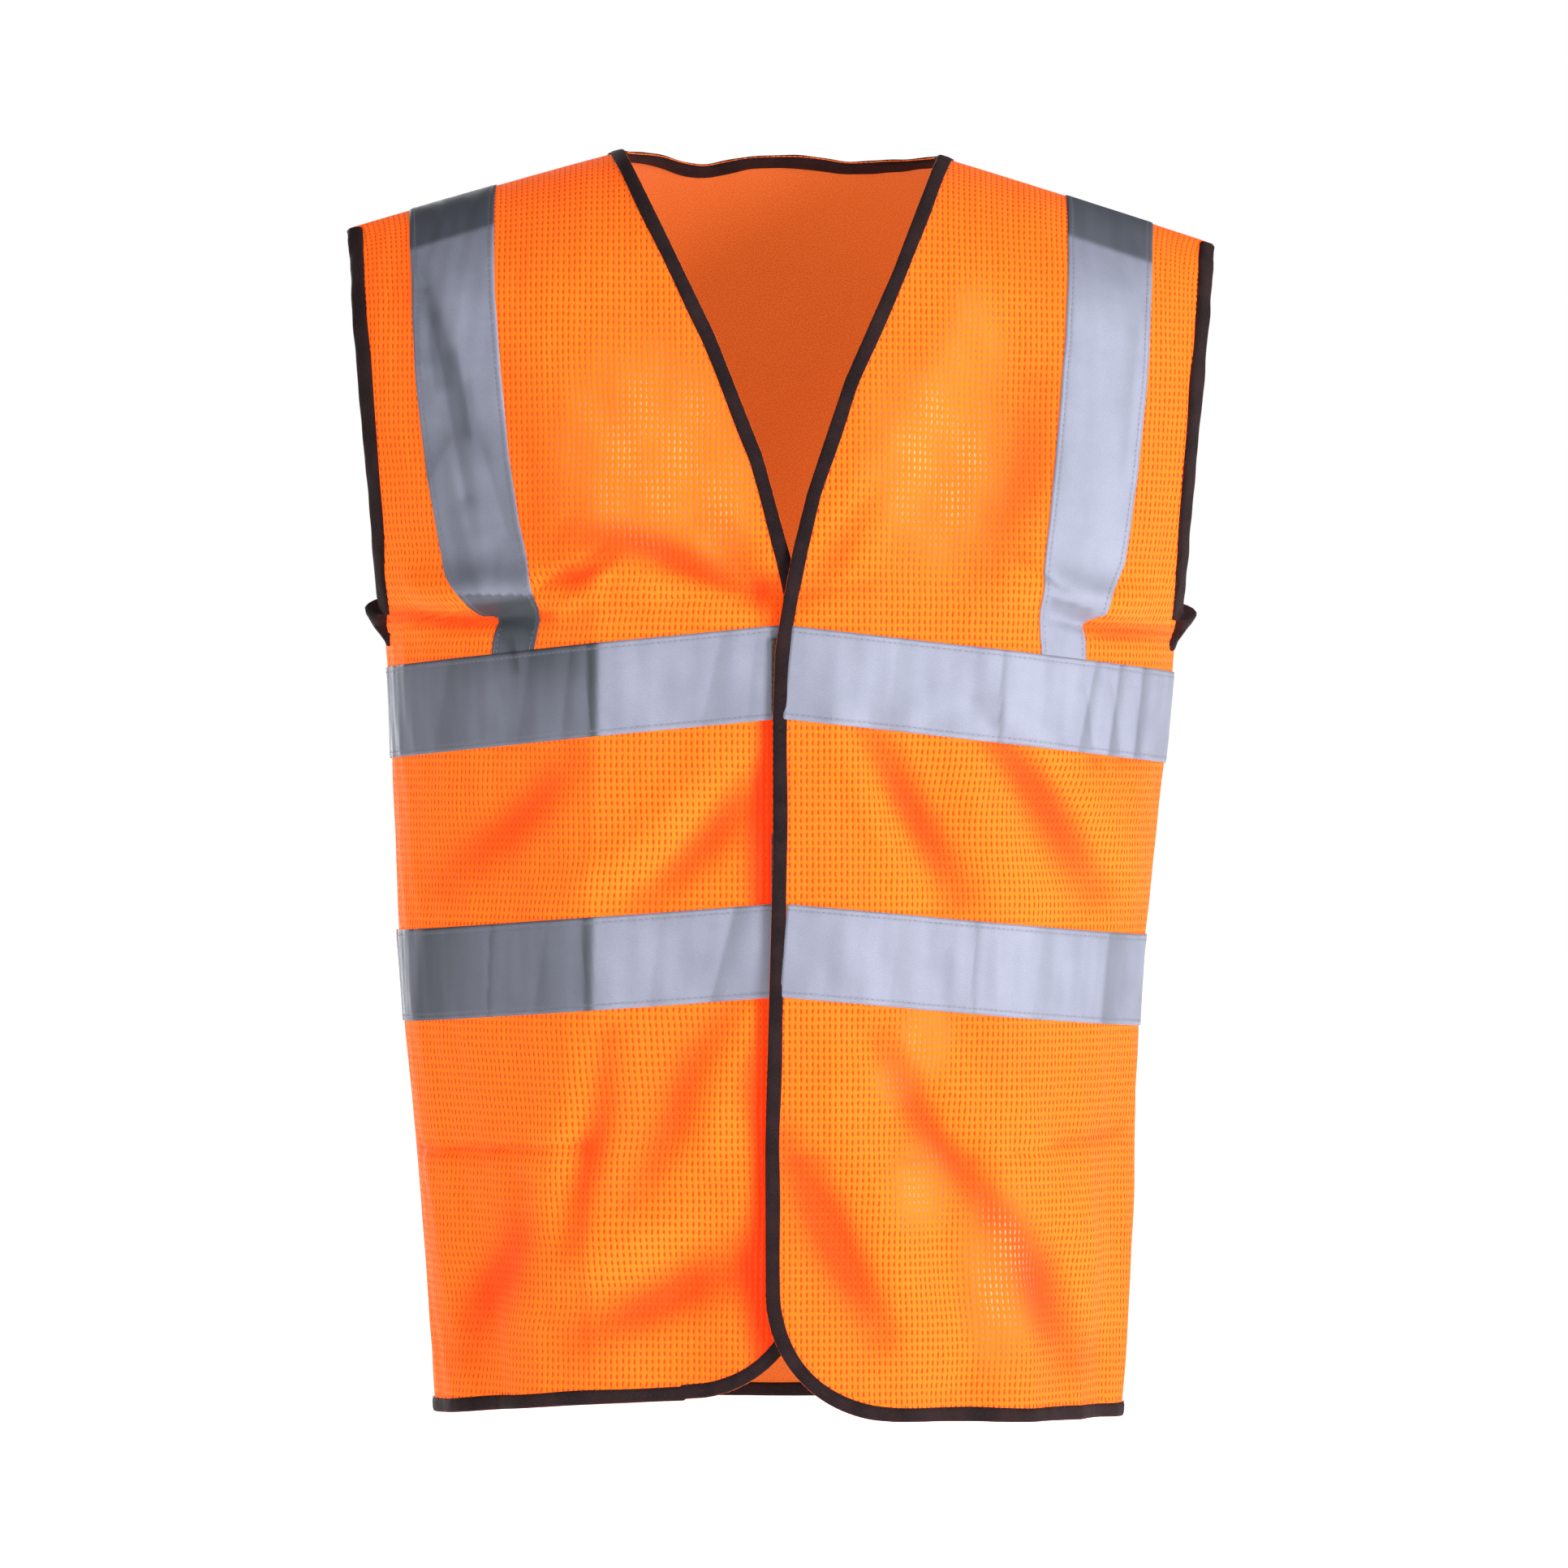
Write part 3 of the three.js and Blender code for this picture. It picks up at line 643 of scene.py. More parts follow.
def mesh_finish(name, through, hole_shade_colour):
    """Fluorescent orange knitted mesh. Its steady glow is painted light that stands for its fluorescence, and
    it is painted redder where the cloth lies in a valley or the top front shades it: painted shade. Its holes
    are painted dark red, the painted shade of the inside seen through them, and pale in the lit spots:
    painted light.
    """
    material, tree, shader = new_finish(name, 0.8, 0.03, specular=0.2)
    uv = cloth_uv(tree)
    knit = placed_group(tree, KNIT, uv)
    patchy = noise(tree, uv, 14.0, 4.0)
    tint = blend_colour(tree, patchy, BRIGHT_ORANGE, SOFT_ORANGE)
    # Painted shade: redder in the valleys, and where the top front shades the under one.
    tint = blend_colour(tree, attribute(tree, "painted_shade"), tint, RED_ORANGE)
    tint = blend_colour(tree, span(tree, knit["Rib"], -0.9, 1.0, 0.0, 0.2), tint, SOFT_ORANGE)
    pale = blend_colour(tree, attribute(tree, "pale"), hole_shade_colour, PALE_HOLE)
    # The cloth's colour with its painted shade, and with its holes painted dark or pale.
    painted_light_and_shade = blend_colour(tree, knit["Hole"], tint, pale)
    fed(tree, shader, Base_Color=painted_light_and_shade, Emission_Color=painted_light_and_shade, Emission_Strength=FLUORESCENCE)
    # Where the holes are painted pale, they are shut.
    if through:
        shut = times(tree, attribute(tree, "pale"), through)
        open_part = times(tree, knit["Hole"], minus(tree, through, shut))
        feed(tree, shader.inputs["Alpha"], minus(tree, 1.0, open_part))
    bump(tree, shader, knit["Height"], 0.0004, 0.7)
    return material


def inside_finish():
    """The inside of the cloth, which faces the wearer: duller, with the fine grain of its yarn. It glows
    strongly, painted light that fills the shade inside the vest.
    """
    material, tree, shader = new_finish("orange_mesh_inside", 0.9, 0.1, specular=0.1)
    uv = cloth_uv(tree)
    grain = placed_group(tree, GRAIN, uv, Thread_mm=0.9)
    tint = blend_colour(tree, grain["Fleck"], *INSIDE_ORANGES)
    fed(tree, shader, Base_Color=tint, Emission_Color=tint, Emission_Strength=INSIDE_GLOW)
    bump(tree, shader, grain["Height"], 0.0003, 0.6)
    return material


# The hole colours given here are painted shade, the dark inside of the vest seen through the holes. The
# back's holes are painted only, and none is open.
FRONT_MESH = mesh_finish("orange_mesh", 0.5, (0.62, 0.036, 0.0, 1))
BACK_MESH = mesh_finish("orange_mesh_back", 0.0, (0.58, 0.034, 0.0, 1))
INSIDE = inside_finish()
SIDES = {LEFT: "left", RIGHT: "right"}


def painted_valley_shade(points, skin):
    """How deep in a valley of the cloth each point lies, from 0 to 1: the painted shade that reddens its
    valleys.
    """
    valleys = {shape: lines for shape, lines in skin[1].items() if shape != "ridge"}
    return np.clip(0.1 - fold_height(points[..., 0], points[..., 2], valleys) / 7.0, 0, 0.8)


def hang(piece, hand, node_name):
    """Ties a back piece to the back, or bakes a front piece's place into its mesh, and hides the part that it
    stands for.
    """
    if hand is None:
        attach(piece, "back")
    else:
        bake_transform(piece)
    if node_name:
        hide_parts(node_name)


# Where the holes are painted pale, as painted light that stands for light coming through them; there the
# front's holes are shut. Each spot has a place (x, z), reach across and up, and strength.
PAINTED_LIT_HOLES = [
    (-70, 526, 50, 56, 0.85), (-34, 498, 22, 34, 0.8), (84, 520, 36, 56, 0.9), (104, 582, 18, 36, 0.6),
    (80, 210, 14, 22, 0.8), (76, 130, 18, 24, 0.7), (120, 82, 20, 46, 0.9), (62, 186, 14, 12, 0.5),
]


def painted_lit_holes(points):
    x, z = points[..., 0], points[..., 2]
    spots = [power * np.exp(-(((x - x0) / wide) ** 2 + ((z - z0) / tall) ** 2) ** 2)
             for x0, z0, wide, tall, power in PAINTED_LIT_HOLES]
    patchy = 0.75 + 0.25 * np.sin(x / 5.0 + z / 21.0) * np.sin(z / 9.0)
    return np.clip(np.max(spots, axis=0) * patchy, 0, 1)


# The under front is painted redder beside the closure, as painted shade where the top one shades it, and
# further out beside each of the three lower patches: extra reach, height and spread.
CLOSURE_SHADE, CLOSURE_REACH = 0.95, 8
PATCH_SHADES = [(9, 304, 34), (12, 182, 26), (17, 86, 42)]


def beside_closure(points):
    x, z = points[..., 0], points[..., 2]
    reach = CLOSURE_REACH + sum(extra * hump(z, middle, spread) for extra, middle, spread in PATCH_SHADES)
    return CLOSURE_SHADE * smooth(x, -8 - reach, -10) * (1 - smooth(z, 392, 470))


fronts, front_edge_angles = {}, {}
for hand, name in SIDES.items():
    inner, outer = front_edges(hand)
    front_edge_angles[hand] = (inner, outer)
    u = np.linspace(0, 1, PANEL_COLUMNS + 1)
    angle = inner[:, None] + (outer - inner)[:, None] * u
    rise = front_rise(angle, rows[:, None], hand)
    points = cloth(angle, rise, 0.0, FRONT_SKIN[hand])
    if hand == RIGHT:
        points, angle, rise = points[:, ::-1], angle[:, ::-1], rise[:, ::-1]
    uv = measured_uv(points)
    uv[..., 0] += points[:, :1, 0] * MM if hand == LEFT else (points[:, -1:, 0] * MM - uv[:, -1:, 0])
    uv[..., 1] = rise * MM
    # Painted shade in the front's valleys, and on the under front beside the closure.
    shade = painted_valley_shade(points, FRONT_SKIN[hand])
    if hand == RIGHT:
        shade = np.clip(shade + beside_closure(points), 0, 1)
    fronts[hand] = finished(f"{name}_front_cloth", laid_grid(points, uv, shade, painted_lit_holes(points)),
                            [FRONT_MESH, INSIDE], CLOTH)
    hang(fronts[hand], hand, f"{name}_front_panel")

# ---- The back panel ----
# One cut of the same mesh from side seam to side seam, with a shallow neck and two armholes.
BACK_NECK_DROP = -1.5


def back_neck_height(x):
    """The back neckline runs nearly level between the neck points, and waves slightly as it hangs."""
    dip = BACK_NECK_DROP * (1 - smooth(np.abs(x), 0.55 * NECK_HALF_WIDTH, NECK_HALF_WIDTH))
    wave = 5.0 * hump(x, -44, 18) - 0.8 * hump(x, -4, 22) + 2.4 * hump(x, 44, 20)
    return NECK_HEIGHT - dip - wave


def back_top_rise(angle):
    x = across(angle) * SHOULDER_HALF_WIDTH
    neck = locate(x, back_neck_height(x), True)[1]
    return np.where(np.abs(x) < NECK_HALF_WIDTH, neck, seam_rise(angle))


back_edges = {}
for hand in (LEFT, RIGHT):
    back_edges[hand] = on_boundary(rows, lambda z: side_x(z, hand), lambda a: 0 * a, 1.75 * hand, True)
first, last = back_edges[LEFT], back_edges[RIGHT] + 2 * math.pi
angle = first[:, None] + (last - first)[:, None] * np.linspace(0, 1, 2 * PANEL_COLUMNS - 20)
rise = back_top_rise(angle) * rows[:, None]
angle = np.where(angle > math.pi, angle - 2 * math.pi, angle)
points = cloth(angle, rise, 0.0, BACK_SKIN)
uv = measured_uv(points)
uv[..., 0] -= uv[:, -1:, 0] / 2
uv[..., 1] = rise * MM
# Painted shade in the back's valleys.
back = finished("back_cloth", laid_grid(points, uv, painted_valley_shade(points, BACK_SKIN)),
                [BACK_MESH, INSIDE], CLOTH)
hang(back, None, "back_panel")

# ---- The side seams ----
# Front and back are overlocked together below each arm. The seam's allowance lies flat inside the
# vest as a narrow double strip, and it is where the cloth bends when a front is opened.
ALLOWANCE = 7.0
ALLOWANCE_OUT = -0.8
ALLOWANCE_THICKNESS = 0.6
SEAM_STEP = 4.0


def even_path(angle, rise, step):
    """The same path on the form, with its points evenly spaced."""
    points = on_form(angle, rise)
    length = np.concatenate([[0], np.cumsum(np.linalg.norm(np.diff(points, axis=0), axis=-1))])
    count = max(3, int(round(length[-1] / step)) + 1)
    want = np.linspace(0, length[-1], count)
    return np.interp(want, length, np.unwrap(angle)), np.interp(want, length, rise), want


def path_frames(angle, rise):
    """At each point of a path, the directions out of the cloth and to the path's left on it."""
    along = unit(np.gradient(on_form(angle, rise), axis=0))
    outward = unit(np.cross(*form_directions(angle, rise)))
    return outward, np.cross(outward, along)


def strip(path, offsets, outs, skin):
    """A table of points beside a path: offsets to its left, and outs along the cloth's normal."""
    angle, rise = path[:2]
    left = path_frames(angle, rise)[1]
    columns = []
    for offset, out in zip(offsets, outs):
        offset = np.broadcast_to(offset, angle.shape)
        moved = slide(angle, rise, left * offset[:, None])
        columns.append(cloth(moved[0], moved[1], np.broadcast_to(out, angle.shape), skin))
    return np.stack(columns, 1)


seams = {}
for hand, name in SIDES.items():
    climb = np.linspace(2, UNDERARM - 4, 120)
    path = even_path(np.full_like(climb, SIDE_ANGLE * hand), climb, SEAM_STEP)
    places = np.linspace(-ALLOWANCE, ALLOWANCE, 9)
    points = strip(path, -places, [ALLOWANCE_OUT] * len(places), BACK_SKIN)
    seams[hand] = finished(f"{name}_side_seam", laid_grid(points, measured_uv(points)), [INSIDE],
                           ALLOWANCE_THICKNESS)
    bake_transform(seams[hand])

# ---- The reflective tapes ----
# Two bands of silver glass-bead tape go right round, and a brace of the same tape runs from the
# upper band over each shoulder. Each tape is sewn down along both edges, 3 mm in.
TAPE_WIDTH = 50.0
TAPE = 0.3
TAPE_OUT = {"band": 1.15, "brace": 0.8}
TAPE_STEP = 1.6
UPPER_BAND_TOP = 408.0
BAND_PITCH = 144.0
BAND_NAMES = ["upper", "lower"]
BAND_RISE = [22.0, 17.0]
EDGE_TO_STITCH = 3.0
UNDER_BINDING = 7.0
RIM_SHARE, RIM_DIP = 0.02, 0.15


def band_bottom(angle, level):
    return UPPER_BAND_TOP - BAND_PITCH * level - TAPE_WIDTH + BAND_RISE[level] * (1 - np.abs(across(angle)))


# Painted shade on the tapes, where creases and the tape's turn from the light would send less light back.
# Each streak runs from (x, z) to (x, z), with a width and a depth of painted shade. It is sharp to its left
# and fades to its right, or the other way round where its width is below 0. The flank towards the wearer's
# right is painted darker as a whole, as turned away from the light, and so is the tape over each shoulder's
# crown. On the back the streaks and the flank are half as dark.
SHARP_SHARE = 0.18
FLANK_EDGE, FLANK_SHADE = -97.0, 0.5
CROWN_REACH, CROWN_BLUR, CROWN_SHADE = 22.0, 4.0, 0.8
PAINTED_TAPE_SHADES = [
    ((-100, 350), (-104, 436), 5, 0.45),
    ((-118, 350), (-110, 436), 5, 0.12),
    ((-186, 350), (-176, 420), 15, 0.14),
    ((-142, 350), (-132, 424), 10, 0.12),
    ((-46, 356), (-28, 436), 8, 0.20),
    ((-18, 372), (-12, 430), 6, 0.14),
    ((-100, 206), (-103, 290), 6, 0.42),
    ((-192, 206), (-186, 290), 24, 0.36),
    ((-153, 206), (-151, 290), 2, 0.22),
    ((-128, 206), (-118, 290), 8, 0.12),
    ((-42, 206), (-20, 292), 9, 0.40),
    ((-70, 206), (-60, 290), 9, 0.12),
    ((56, 354), (66, 436), 10, 0.14),
    ((117, 350), (121, 430), 3, 0.34),
    ((160, 350), (173, 420), 4, 0.36),
    ((178, 350), (186, 420), 4, 0.42),
    ((193, 350), (199, 420), 4, 0.46),
    ((58, 206), (68, 290), 10, 0.14),
    ((106, 206), (109, 286), 3, 0.28),
    ((180, 206), (186, 280), 11, 0.42),
    ((140, 206), (150, 280), 8, 0.12),
    ((-197, 626), (-162, 522), 24, 0.42),
    ((-192, 600), (-186, 556), -9, 0.26),
    ((-176, 578), (-168, 530), 7, 0.30),
    ((-178, 532), (-196, 500), 10, 0.20),
    ((-114, 534), (-114, 400), 90, 0.30),
    ((-182, 520), (-164, 446), 14, 0.20),
    ((-170, 437), (-112, 443), 18, 0.42),
    ((-146, 430), (-140, 404), 4, 0.20),
    ((172, 540), (150, 410), 22, 0.10),
    ((194, 600), (186, 520), 6, 0.16),
    ((146, 446), (168, 440), 4, 0.30),
]


# Painted shade on a tape at each point, from 0 to 1: its flank, its creases and its crown over the shoulder.
def painted_tape_shade(points):
    x, y, z = points[..., 0], points[..., 1], points[..., 2]
    tone = FLANK_SHADE * (1 - smooth(x, FLANK_EDGE - 2, FLANK_EDGE + 1)) * (z < UNDERARM + BAND_RISE[0])
    for (x0, z0), (x1, z1), width, depth in PAINTED_TAPE_SHADES:
        run = beside_line(x, z, (x0, z0), (x1, z1))[0]
        beside = ((x - x0) * (z1 - z0) - (z - z0) * (x1 - x0)) / math.hypot(x1 - x0, z1 - z0) / width
        profile = np.exp(-np.where(beside > 0, beside, beside / SHARP_SHARE) ** 2)
        tone = tone + depth * profile * smooth(run, -0.12, 0.12) * (1 - smooth(run, 0.88, 1.12))
    crown = ridge_height(x) - CROWN_REACH
    turned = CROWN_SHADE * smooth(z, crown - CROWN_BLUR, crown)
    return np.clip(np.where(y < 0, tone, 0.5 * tone) + turned, 0, 1)


TAPE_GREY, TAPE_BRIGHT = (0.250, 0.262, 0.340, 1), (0.305, 0.318, 0.405, 1)
TAPE_FLECK, TAPE_SEWN = (0.155, 0.165, 0.215, 1), (0.17, 0.17, 0.22, 1)
# The colour of the tape's painted shade.
TAPE_PAINTED_SHADE = (0.052, 0.062, 0.074, 1)
PUCKER_PITCH = 6.0


def retroreflective():
    """Silver tape of glass beads on cloth: fine beads, faint weave, puckers along the sewing, and painted
    shade where it is creased or turned from the light.
    """
    material, tree, shader = new_finish("reflective_tape", 0.55, 0.0, 0.2, 0.35)
    uv = cloth_uv(tree)
    split = linked_node(tree, "ShaderNodeSeparateXYZ")
    feed(tree, split.inputs[0], uv)
    grain = placed_group(tree, GRAIN, uv, Thread_mm=0.6)
    cloudy = noise(tree, uv, 26.0, 5.0, 0.6)
    tint = blend_colour(tree, span(tree, cloudy, 0.3, 0.75), TAPE_GREY, TAPE_BRIGHT)
    tint = blend_colour(tree, span(tree, grain["Fleck"], 0.0, 1.0, 0.0, 0.3), tint, TAPE_FLECK)
    # Painted shade where the tape is creased or turned from the light.
    tint = blend_colour(tree, attribute(tree, "painted_shade"), tint, TAPE_PAINTED_SHADE)
    middle = math_node("ABSOLUTE", tree, minus(tree, split.outputs[1], TAPE_WIDTH / 2 * MM))
    row_at = math_node("ABSOLUTE", tree, minus(tree, middle, (TAPE_WIDTH / 2 - EDGE_TO_STITCH) * MM))
    sewn = span(tree, row_at, 0.0, 0.0016, 1.0, 0.0)
    pull = span(tree, row_at, 0.0, 0.006, 1.0, 0.0)
    ripple = math_node("SINE", tree, times(tree, split.outputs[0], 2 * math.pi / (PUCKER_PITCH * MM)))
    pucker = times(tree, pull, ripple)
    tint = blend_colour(tree, times(tree, sewn, 0.3), tint, TAPE_SEWN)
    feed(tree, shader.inputs["Base Color"], tint)
    feed(tree, shader.inputs["Roughness"], span(tree, cloudy, 0.2, 0.8, 0.48, 0.62))
    soft = bump(tree, shader, minus(tree, times(tree, pucker, 0.3), sewn), 0.00025, 0.4)
    bump(tree, shader, grain["Height"], 0.00015, 0.5, soft)
    return material


SILVER = retroreflective()


def make_tape(name, path, hand, skin, out, node_name, left_side=None, right_side=None):
    """A tape along a path. Its sides may be given as offsets where the cloth folds over it."""
    run = path[2]
    shares = np.linspace(0, 1, int(TAPE_WIDTH / TAPE_STEP) + 1)
    low = -TAPE_WIDTH / 2 if right_side is None else right_side
    high = TAPE_WIDTH / 2 if left_side is None else left_side
    offsets = [low + (high - low) * share for share in shares]
    outs = [out - RIM_DIP * (min(share, 1 - share) < RIM_SHARE) for share in shares]
    points = strip(path, offsets, outs, skin)
    uv = np.empty(points.shape[:2] + (2,))
    uv[..., 0] = run[:, None] * MM
    uv[..., 1] = shares[None] * TAPE_WIDTH * MM
    # The tape's painted shade is kept on its points.
    bm = laid_grid(points.transpose(1, 0, 2), uv.transpose(1, 0, 2), painted_tape_shade(points).T)
    tape = finished(name, bm, [SILVER, INSIDE], TAPE)
    hang(tape, hand, node_name)
    return tape


def skin_of(hand):
    return BACK_SKIN if hand is None else FRONT_SKIN[hand]


# Every row of stitches is kept as (panel, path, offset, out) and sewn at the end.
tape_sewing, tapes = [], {LEFT: [], RIGHT: [], None: []}


def keep_tape(tape, hand, path, out, sides=(-TAPE_WIDTH / 2, TAPE_WIDTH / 2)):
    tapes[hand].append(tape)
    for side, inward in zip(sides, (1, -1)):
        tape_sewing.append((hand, path, side + inward * EDGE_TO_STITCH, out))


for level, level_name in enumerate(BAND_NAMES):
    z_middle = UPPER_BAND_TOP - BAND_PITCH * level - TAPE_WIDTH / 2 + BAND_RISE[level]
    for hand, name in SIDES.items():
        edge = front_edge_x(np.array(z_middle), hand) + hand * UNDER_BINDING
        start = float(locate(edge, np.array(z_middle))[0])
        angle = np.linspace(start, SIDE_ANGLE * hand, 160)
        if hand == RIGHT:
            angle = angle[::-1]
        path = even_path(angle, band_bottom(angle, level) + TAPE_WIDTH / 2, TAPE_STEP)
        band = make_tape(f"{level_name}_{name}_tape", path, hand, FRONT_SKIN[hand], TAPE_OUT["band"],
                         f"{level_name}_{name}_band")
        keep_tape(band, hand, path, TAPE_OUT["band"])
    angle = np.linspace(SIDE_ANGLE, 3 * SIDE_ANGLE, 320)
    level_rise = np.full_like(angle, UPPER_BAND_TOP - BAND_PITCH * level - TAPE_WIDTH / 2)
    path = even_path(angle, level_rise, TAPE_STEP)
    band = make_tape(f"{level_name}_back_tape", path, None, BACK_SKIN, TAPE_OUT["band"],
                     f"{level_name}_back_band")
    keep_tape(band, None, path, TAPE_OUT["band"])

# ---- The braces ----
# Each brace is cut in two at the shoulder seam. Its foot tucks under the upper band, and at the
# front the cloth under the arm folds over the brace's outer side.
BRACE_TUCK = 6.0
BRACE_TURNED, TURNED_BETWEEN = {LEFT: 10.0, RIGHT: 10.0}, (444, 472)
BRACE_COVERED, COVERED_BETWEEN = {LEFT: 10.0, RIGHT: 13.0}, (430, 439)
BRACE_LINE = {
    (LEFT, "front"): ([404, 437, 454, 486, 518, 583, 631, 665], [161, 160, 162, 167, 171, 177, 179, 180]),
    (RIGHT, "front"): ([404, 420, 434, 453, 478, 517, 563, 602, 665],
                       [154, 153, 151, 156, 163, 170, 175, 178, 180]),
    (LEFT, "back"): ([390, 480, 560, 665], [166, 170, 175, 180]),
    (RIGHT, "back"): ([390, 480, 560, 665], [166, 170, 175, 180]),
}


def brace_path(hand, side):
    heights, places = BRACE_LINE[hand, side]
    back_side = side == "back"
    v = np.linspace(0, 1, 400)
    x_at = lambda z: hand * np.interp(z, heights, places)
    if back_side:
        angle = on_boundary(v, x_at, lambda a: 0 * a, 2.2 * hand, True)
        rise = seam_rise(angle) * v
        foot = UPPER_BAND_TOP - BRACE_TUCK
    else:
        angle = on_boundary(v, x_at, lambda a: hem_height(a, hand), 0.9 * hand)
        rise = front_rise(angle, v, hand)
        foot = band_bottom(angle, 0) + TAPE_WIDTH - BRACE_TUCK
    keep = rise >= foot
    return even_path(angle[keep], rise[keep], TAPE_STEP)


for hand, name in SIDES.items():
    for side in ("front", "back"):
        path = brace_path(hand, side)
        panel = hand if side == "front" else None
        left_side = right_side = None
        sides = [-TAPE_WIDTH / 2, TAPE_WIDTH / 2]
        if side == "front":
            covered = BRACE_TURNED[hand] * (1 - smooth(path[1], *TURNED_BETWEEN))
            covered = covered + BRACE_COVERED[hand] * (1 - smooth(path[1], *COVERED_BETWEEN))
            if hand == LEFT:
                right_side = -TAPE_WIDTH / 2 + covered
                sides[0] = right_side
            else:
                left_side = TAPE_WIDTH / 2 - covered
                sides[1] = left_side
        brace = make_tape(f"{name}_brace_{side}", path, panel, skin_of(panel), TAPE_OUT["brace"],
                          f"{name}_brace_{side}_tape", left_side, right_side)
        keep_tape(brace, panel, path, TAPE_OUT["brace"], sides)

# ---- The bindings ----
# A dark woven tape, folded over every raw edge of the cloth and sewn down through both leaves, so
# that it reads as a soft flat roll. Its ends bunch up under the arms.
BINDING_WIDTH = 7.8
BINDING_HALF_THICKNESS = 1.5
ARMHOLE_BINDING_WIDTH = 9.6
ARMHOLE_HALF_THICKNESS = 2.6
SECTION_POINTS = 14
SECTION_SHARPNESS = 3.2
BINDING_STEP = 2.6
NECK_HALF_THICKNESS = 1.9
KNOB_MIDDLE, KNOB_REACH, KNOB_LIFT = 13.5, 8.0, 9.0
KNOB_WIDER, KNOB_THICKER, KNOB_OUT = 1.2, 3.4, 5.4
SHOULDER_OVERLAP = 2.2
BITE_OUT = 0.9
DOME_TURNS = (0.5, 0.95, 1.3)


BLACK, WARM_BLACK = (0.007, 0.004, 0.005, 1), (0.022, 0.010, 0.011, 1)
BINDING_FLECK = (0.045, 0.018, 0.020, 1)


def binding_finish():
    """Near-black woven binding with a faint warm sheen, warmer in clouds, and flecked with yarn."""
    material, tree, shader = new_finish("dark_binding", 0.7, 0.05, 0.0, 0.15)
    fed(tree, shader, Sheen_Roughness=0.4, Sheen_Tint=(0.8, 0.4, 0.4, 1))
    uv = cloth_uv(tree)
    grain = placed_group(tree, GRAIN, uv, Thread_mm=0.45)
    cloudy = noise(tree, uv, 55.0, 4.0, 0.6)
    tint = blend_colour(tree, span(tree, cloudy, 0.3, 0.7), BLACK, WARM_BLACK)
    tint = blend_colour(tree, span(tree, grain["Fleck"], 0.3, 1.0, 0.0, 0.4), tint, BINDING_FLECK)
    feed(tree, shader.inputs["Base Color"], tint)
    bump(tree, shader, grain["Height"], 0.0003, 0.8)
    return material


DARK = binding_finish()


def rounded_end(points, reach):
    """Closes a roll's last ring with a low dome, so that it meets the next roll over the seam."""
    last, middle = points[-1], points[-1].mean(0)
    onward = unit(middle - points[-2].mean(0))
    dome = [middle + (last - middle) * math.cos(turn) + onward * reach * math.sin(turn)
            for turn in DOME_TURNS]
    return np.concatenate([points, dome])


def make_binding(name, path, inward, hand, node_name, skin, width, half_thickness, bunch, overlap):
    """A flat roll round an edge. inward is 1 where the cloth lies to the path's left, or else -1."""
    run = path[2]
    turn = np.linspace(0, 2 * math.pi, SECTION_POINTS + 1)
    power = 2 / SECTION_SHARPNESS
    wide = np.sign(np.cos(turn)) * np.abs(np.cos(turn)) ** power
    thick = np.sign(np.sin(turn)) * np.abs(np.sin(turn)) ** power
    swell = 1 + 0.10 * np.sin(run / 7.0) + 0.07 * np.sin(run / 3.1 + 1)
    knob = bunch * np.exp(-((run - KNOB_MIDDLE) / KNOB_REACH) ** 4)
    half = width / 2 * (1 + 0.03 * np.sin(run / 11.0))
    lumpy = knob * (1 + 0.25 * np.sin(run / 1.9))
    offsets = [inward * (half - knob + w * (half + KNOB_WIDER * lumpy)) for w in wide[:-1]]
    outs = [t * (half_thickness * swell + KNOB_THICKER * lumpy) + KNOB_OUT * knob for t in thick[:-1]]
    points = strip(path, offsets, outs, skin)
    points[..., 2] += KNOB_LIFT * knob[:, None]
    if overlap:
        points = rounded_end(points, overlap)
        run = np.append(run, run[-1] + overlap * np.sin(DOME_TURNS))
    points = np.concatenate([points, points[:, :1]], 1)
    ring = np.linspace(0, 2 * width * MM, SECTION_POINTS + 1)
    uv = np.stack(np.broadcast_arrays(run[:, None] * MM, ring[None]), -1)
    bm = laid_grid(points, np.array(uv))
    bmesh.ops.remove_doubles(bm, verts=bm.verts, dist=1e-6)
    bmesh.ops.holes_fill(bm, edges=[e for e in bm.edges if e.is_boundary], sides=0)
    bmesh.ops.recalc_face_normals(bm, faces=bm.faces)
    binding = finished(name, bm, [DARK])
    hang(binding, hand, node_name)
    return binding


bindings, binding_sewing = {LEFT: [], RIGHT: [], None: []}, []


def bind(name, path, inward, hand, node_name, width=BINDING_WIDTH, half=BINDING_HALF_THICKNESS,
         bunch=0.0, overlap=0.0):
    bindings[hand].append(
        make_binding(name, path, inward, hand, node_name, skin_of(hand), width, half, bunch, overlap))
    binding_sewing.append((hand, path, inward * width, BITE_OUT))


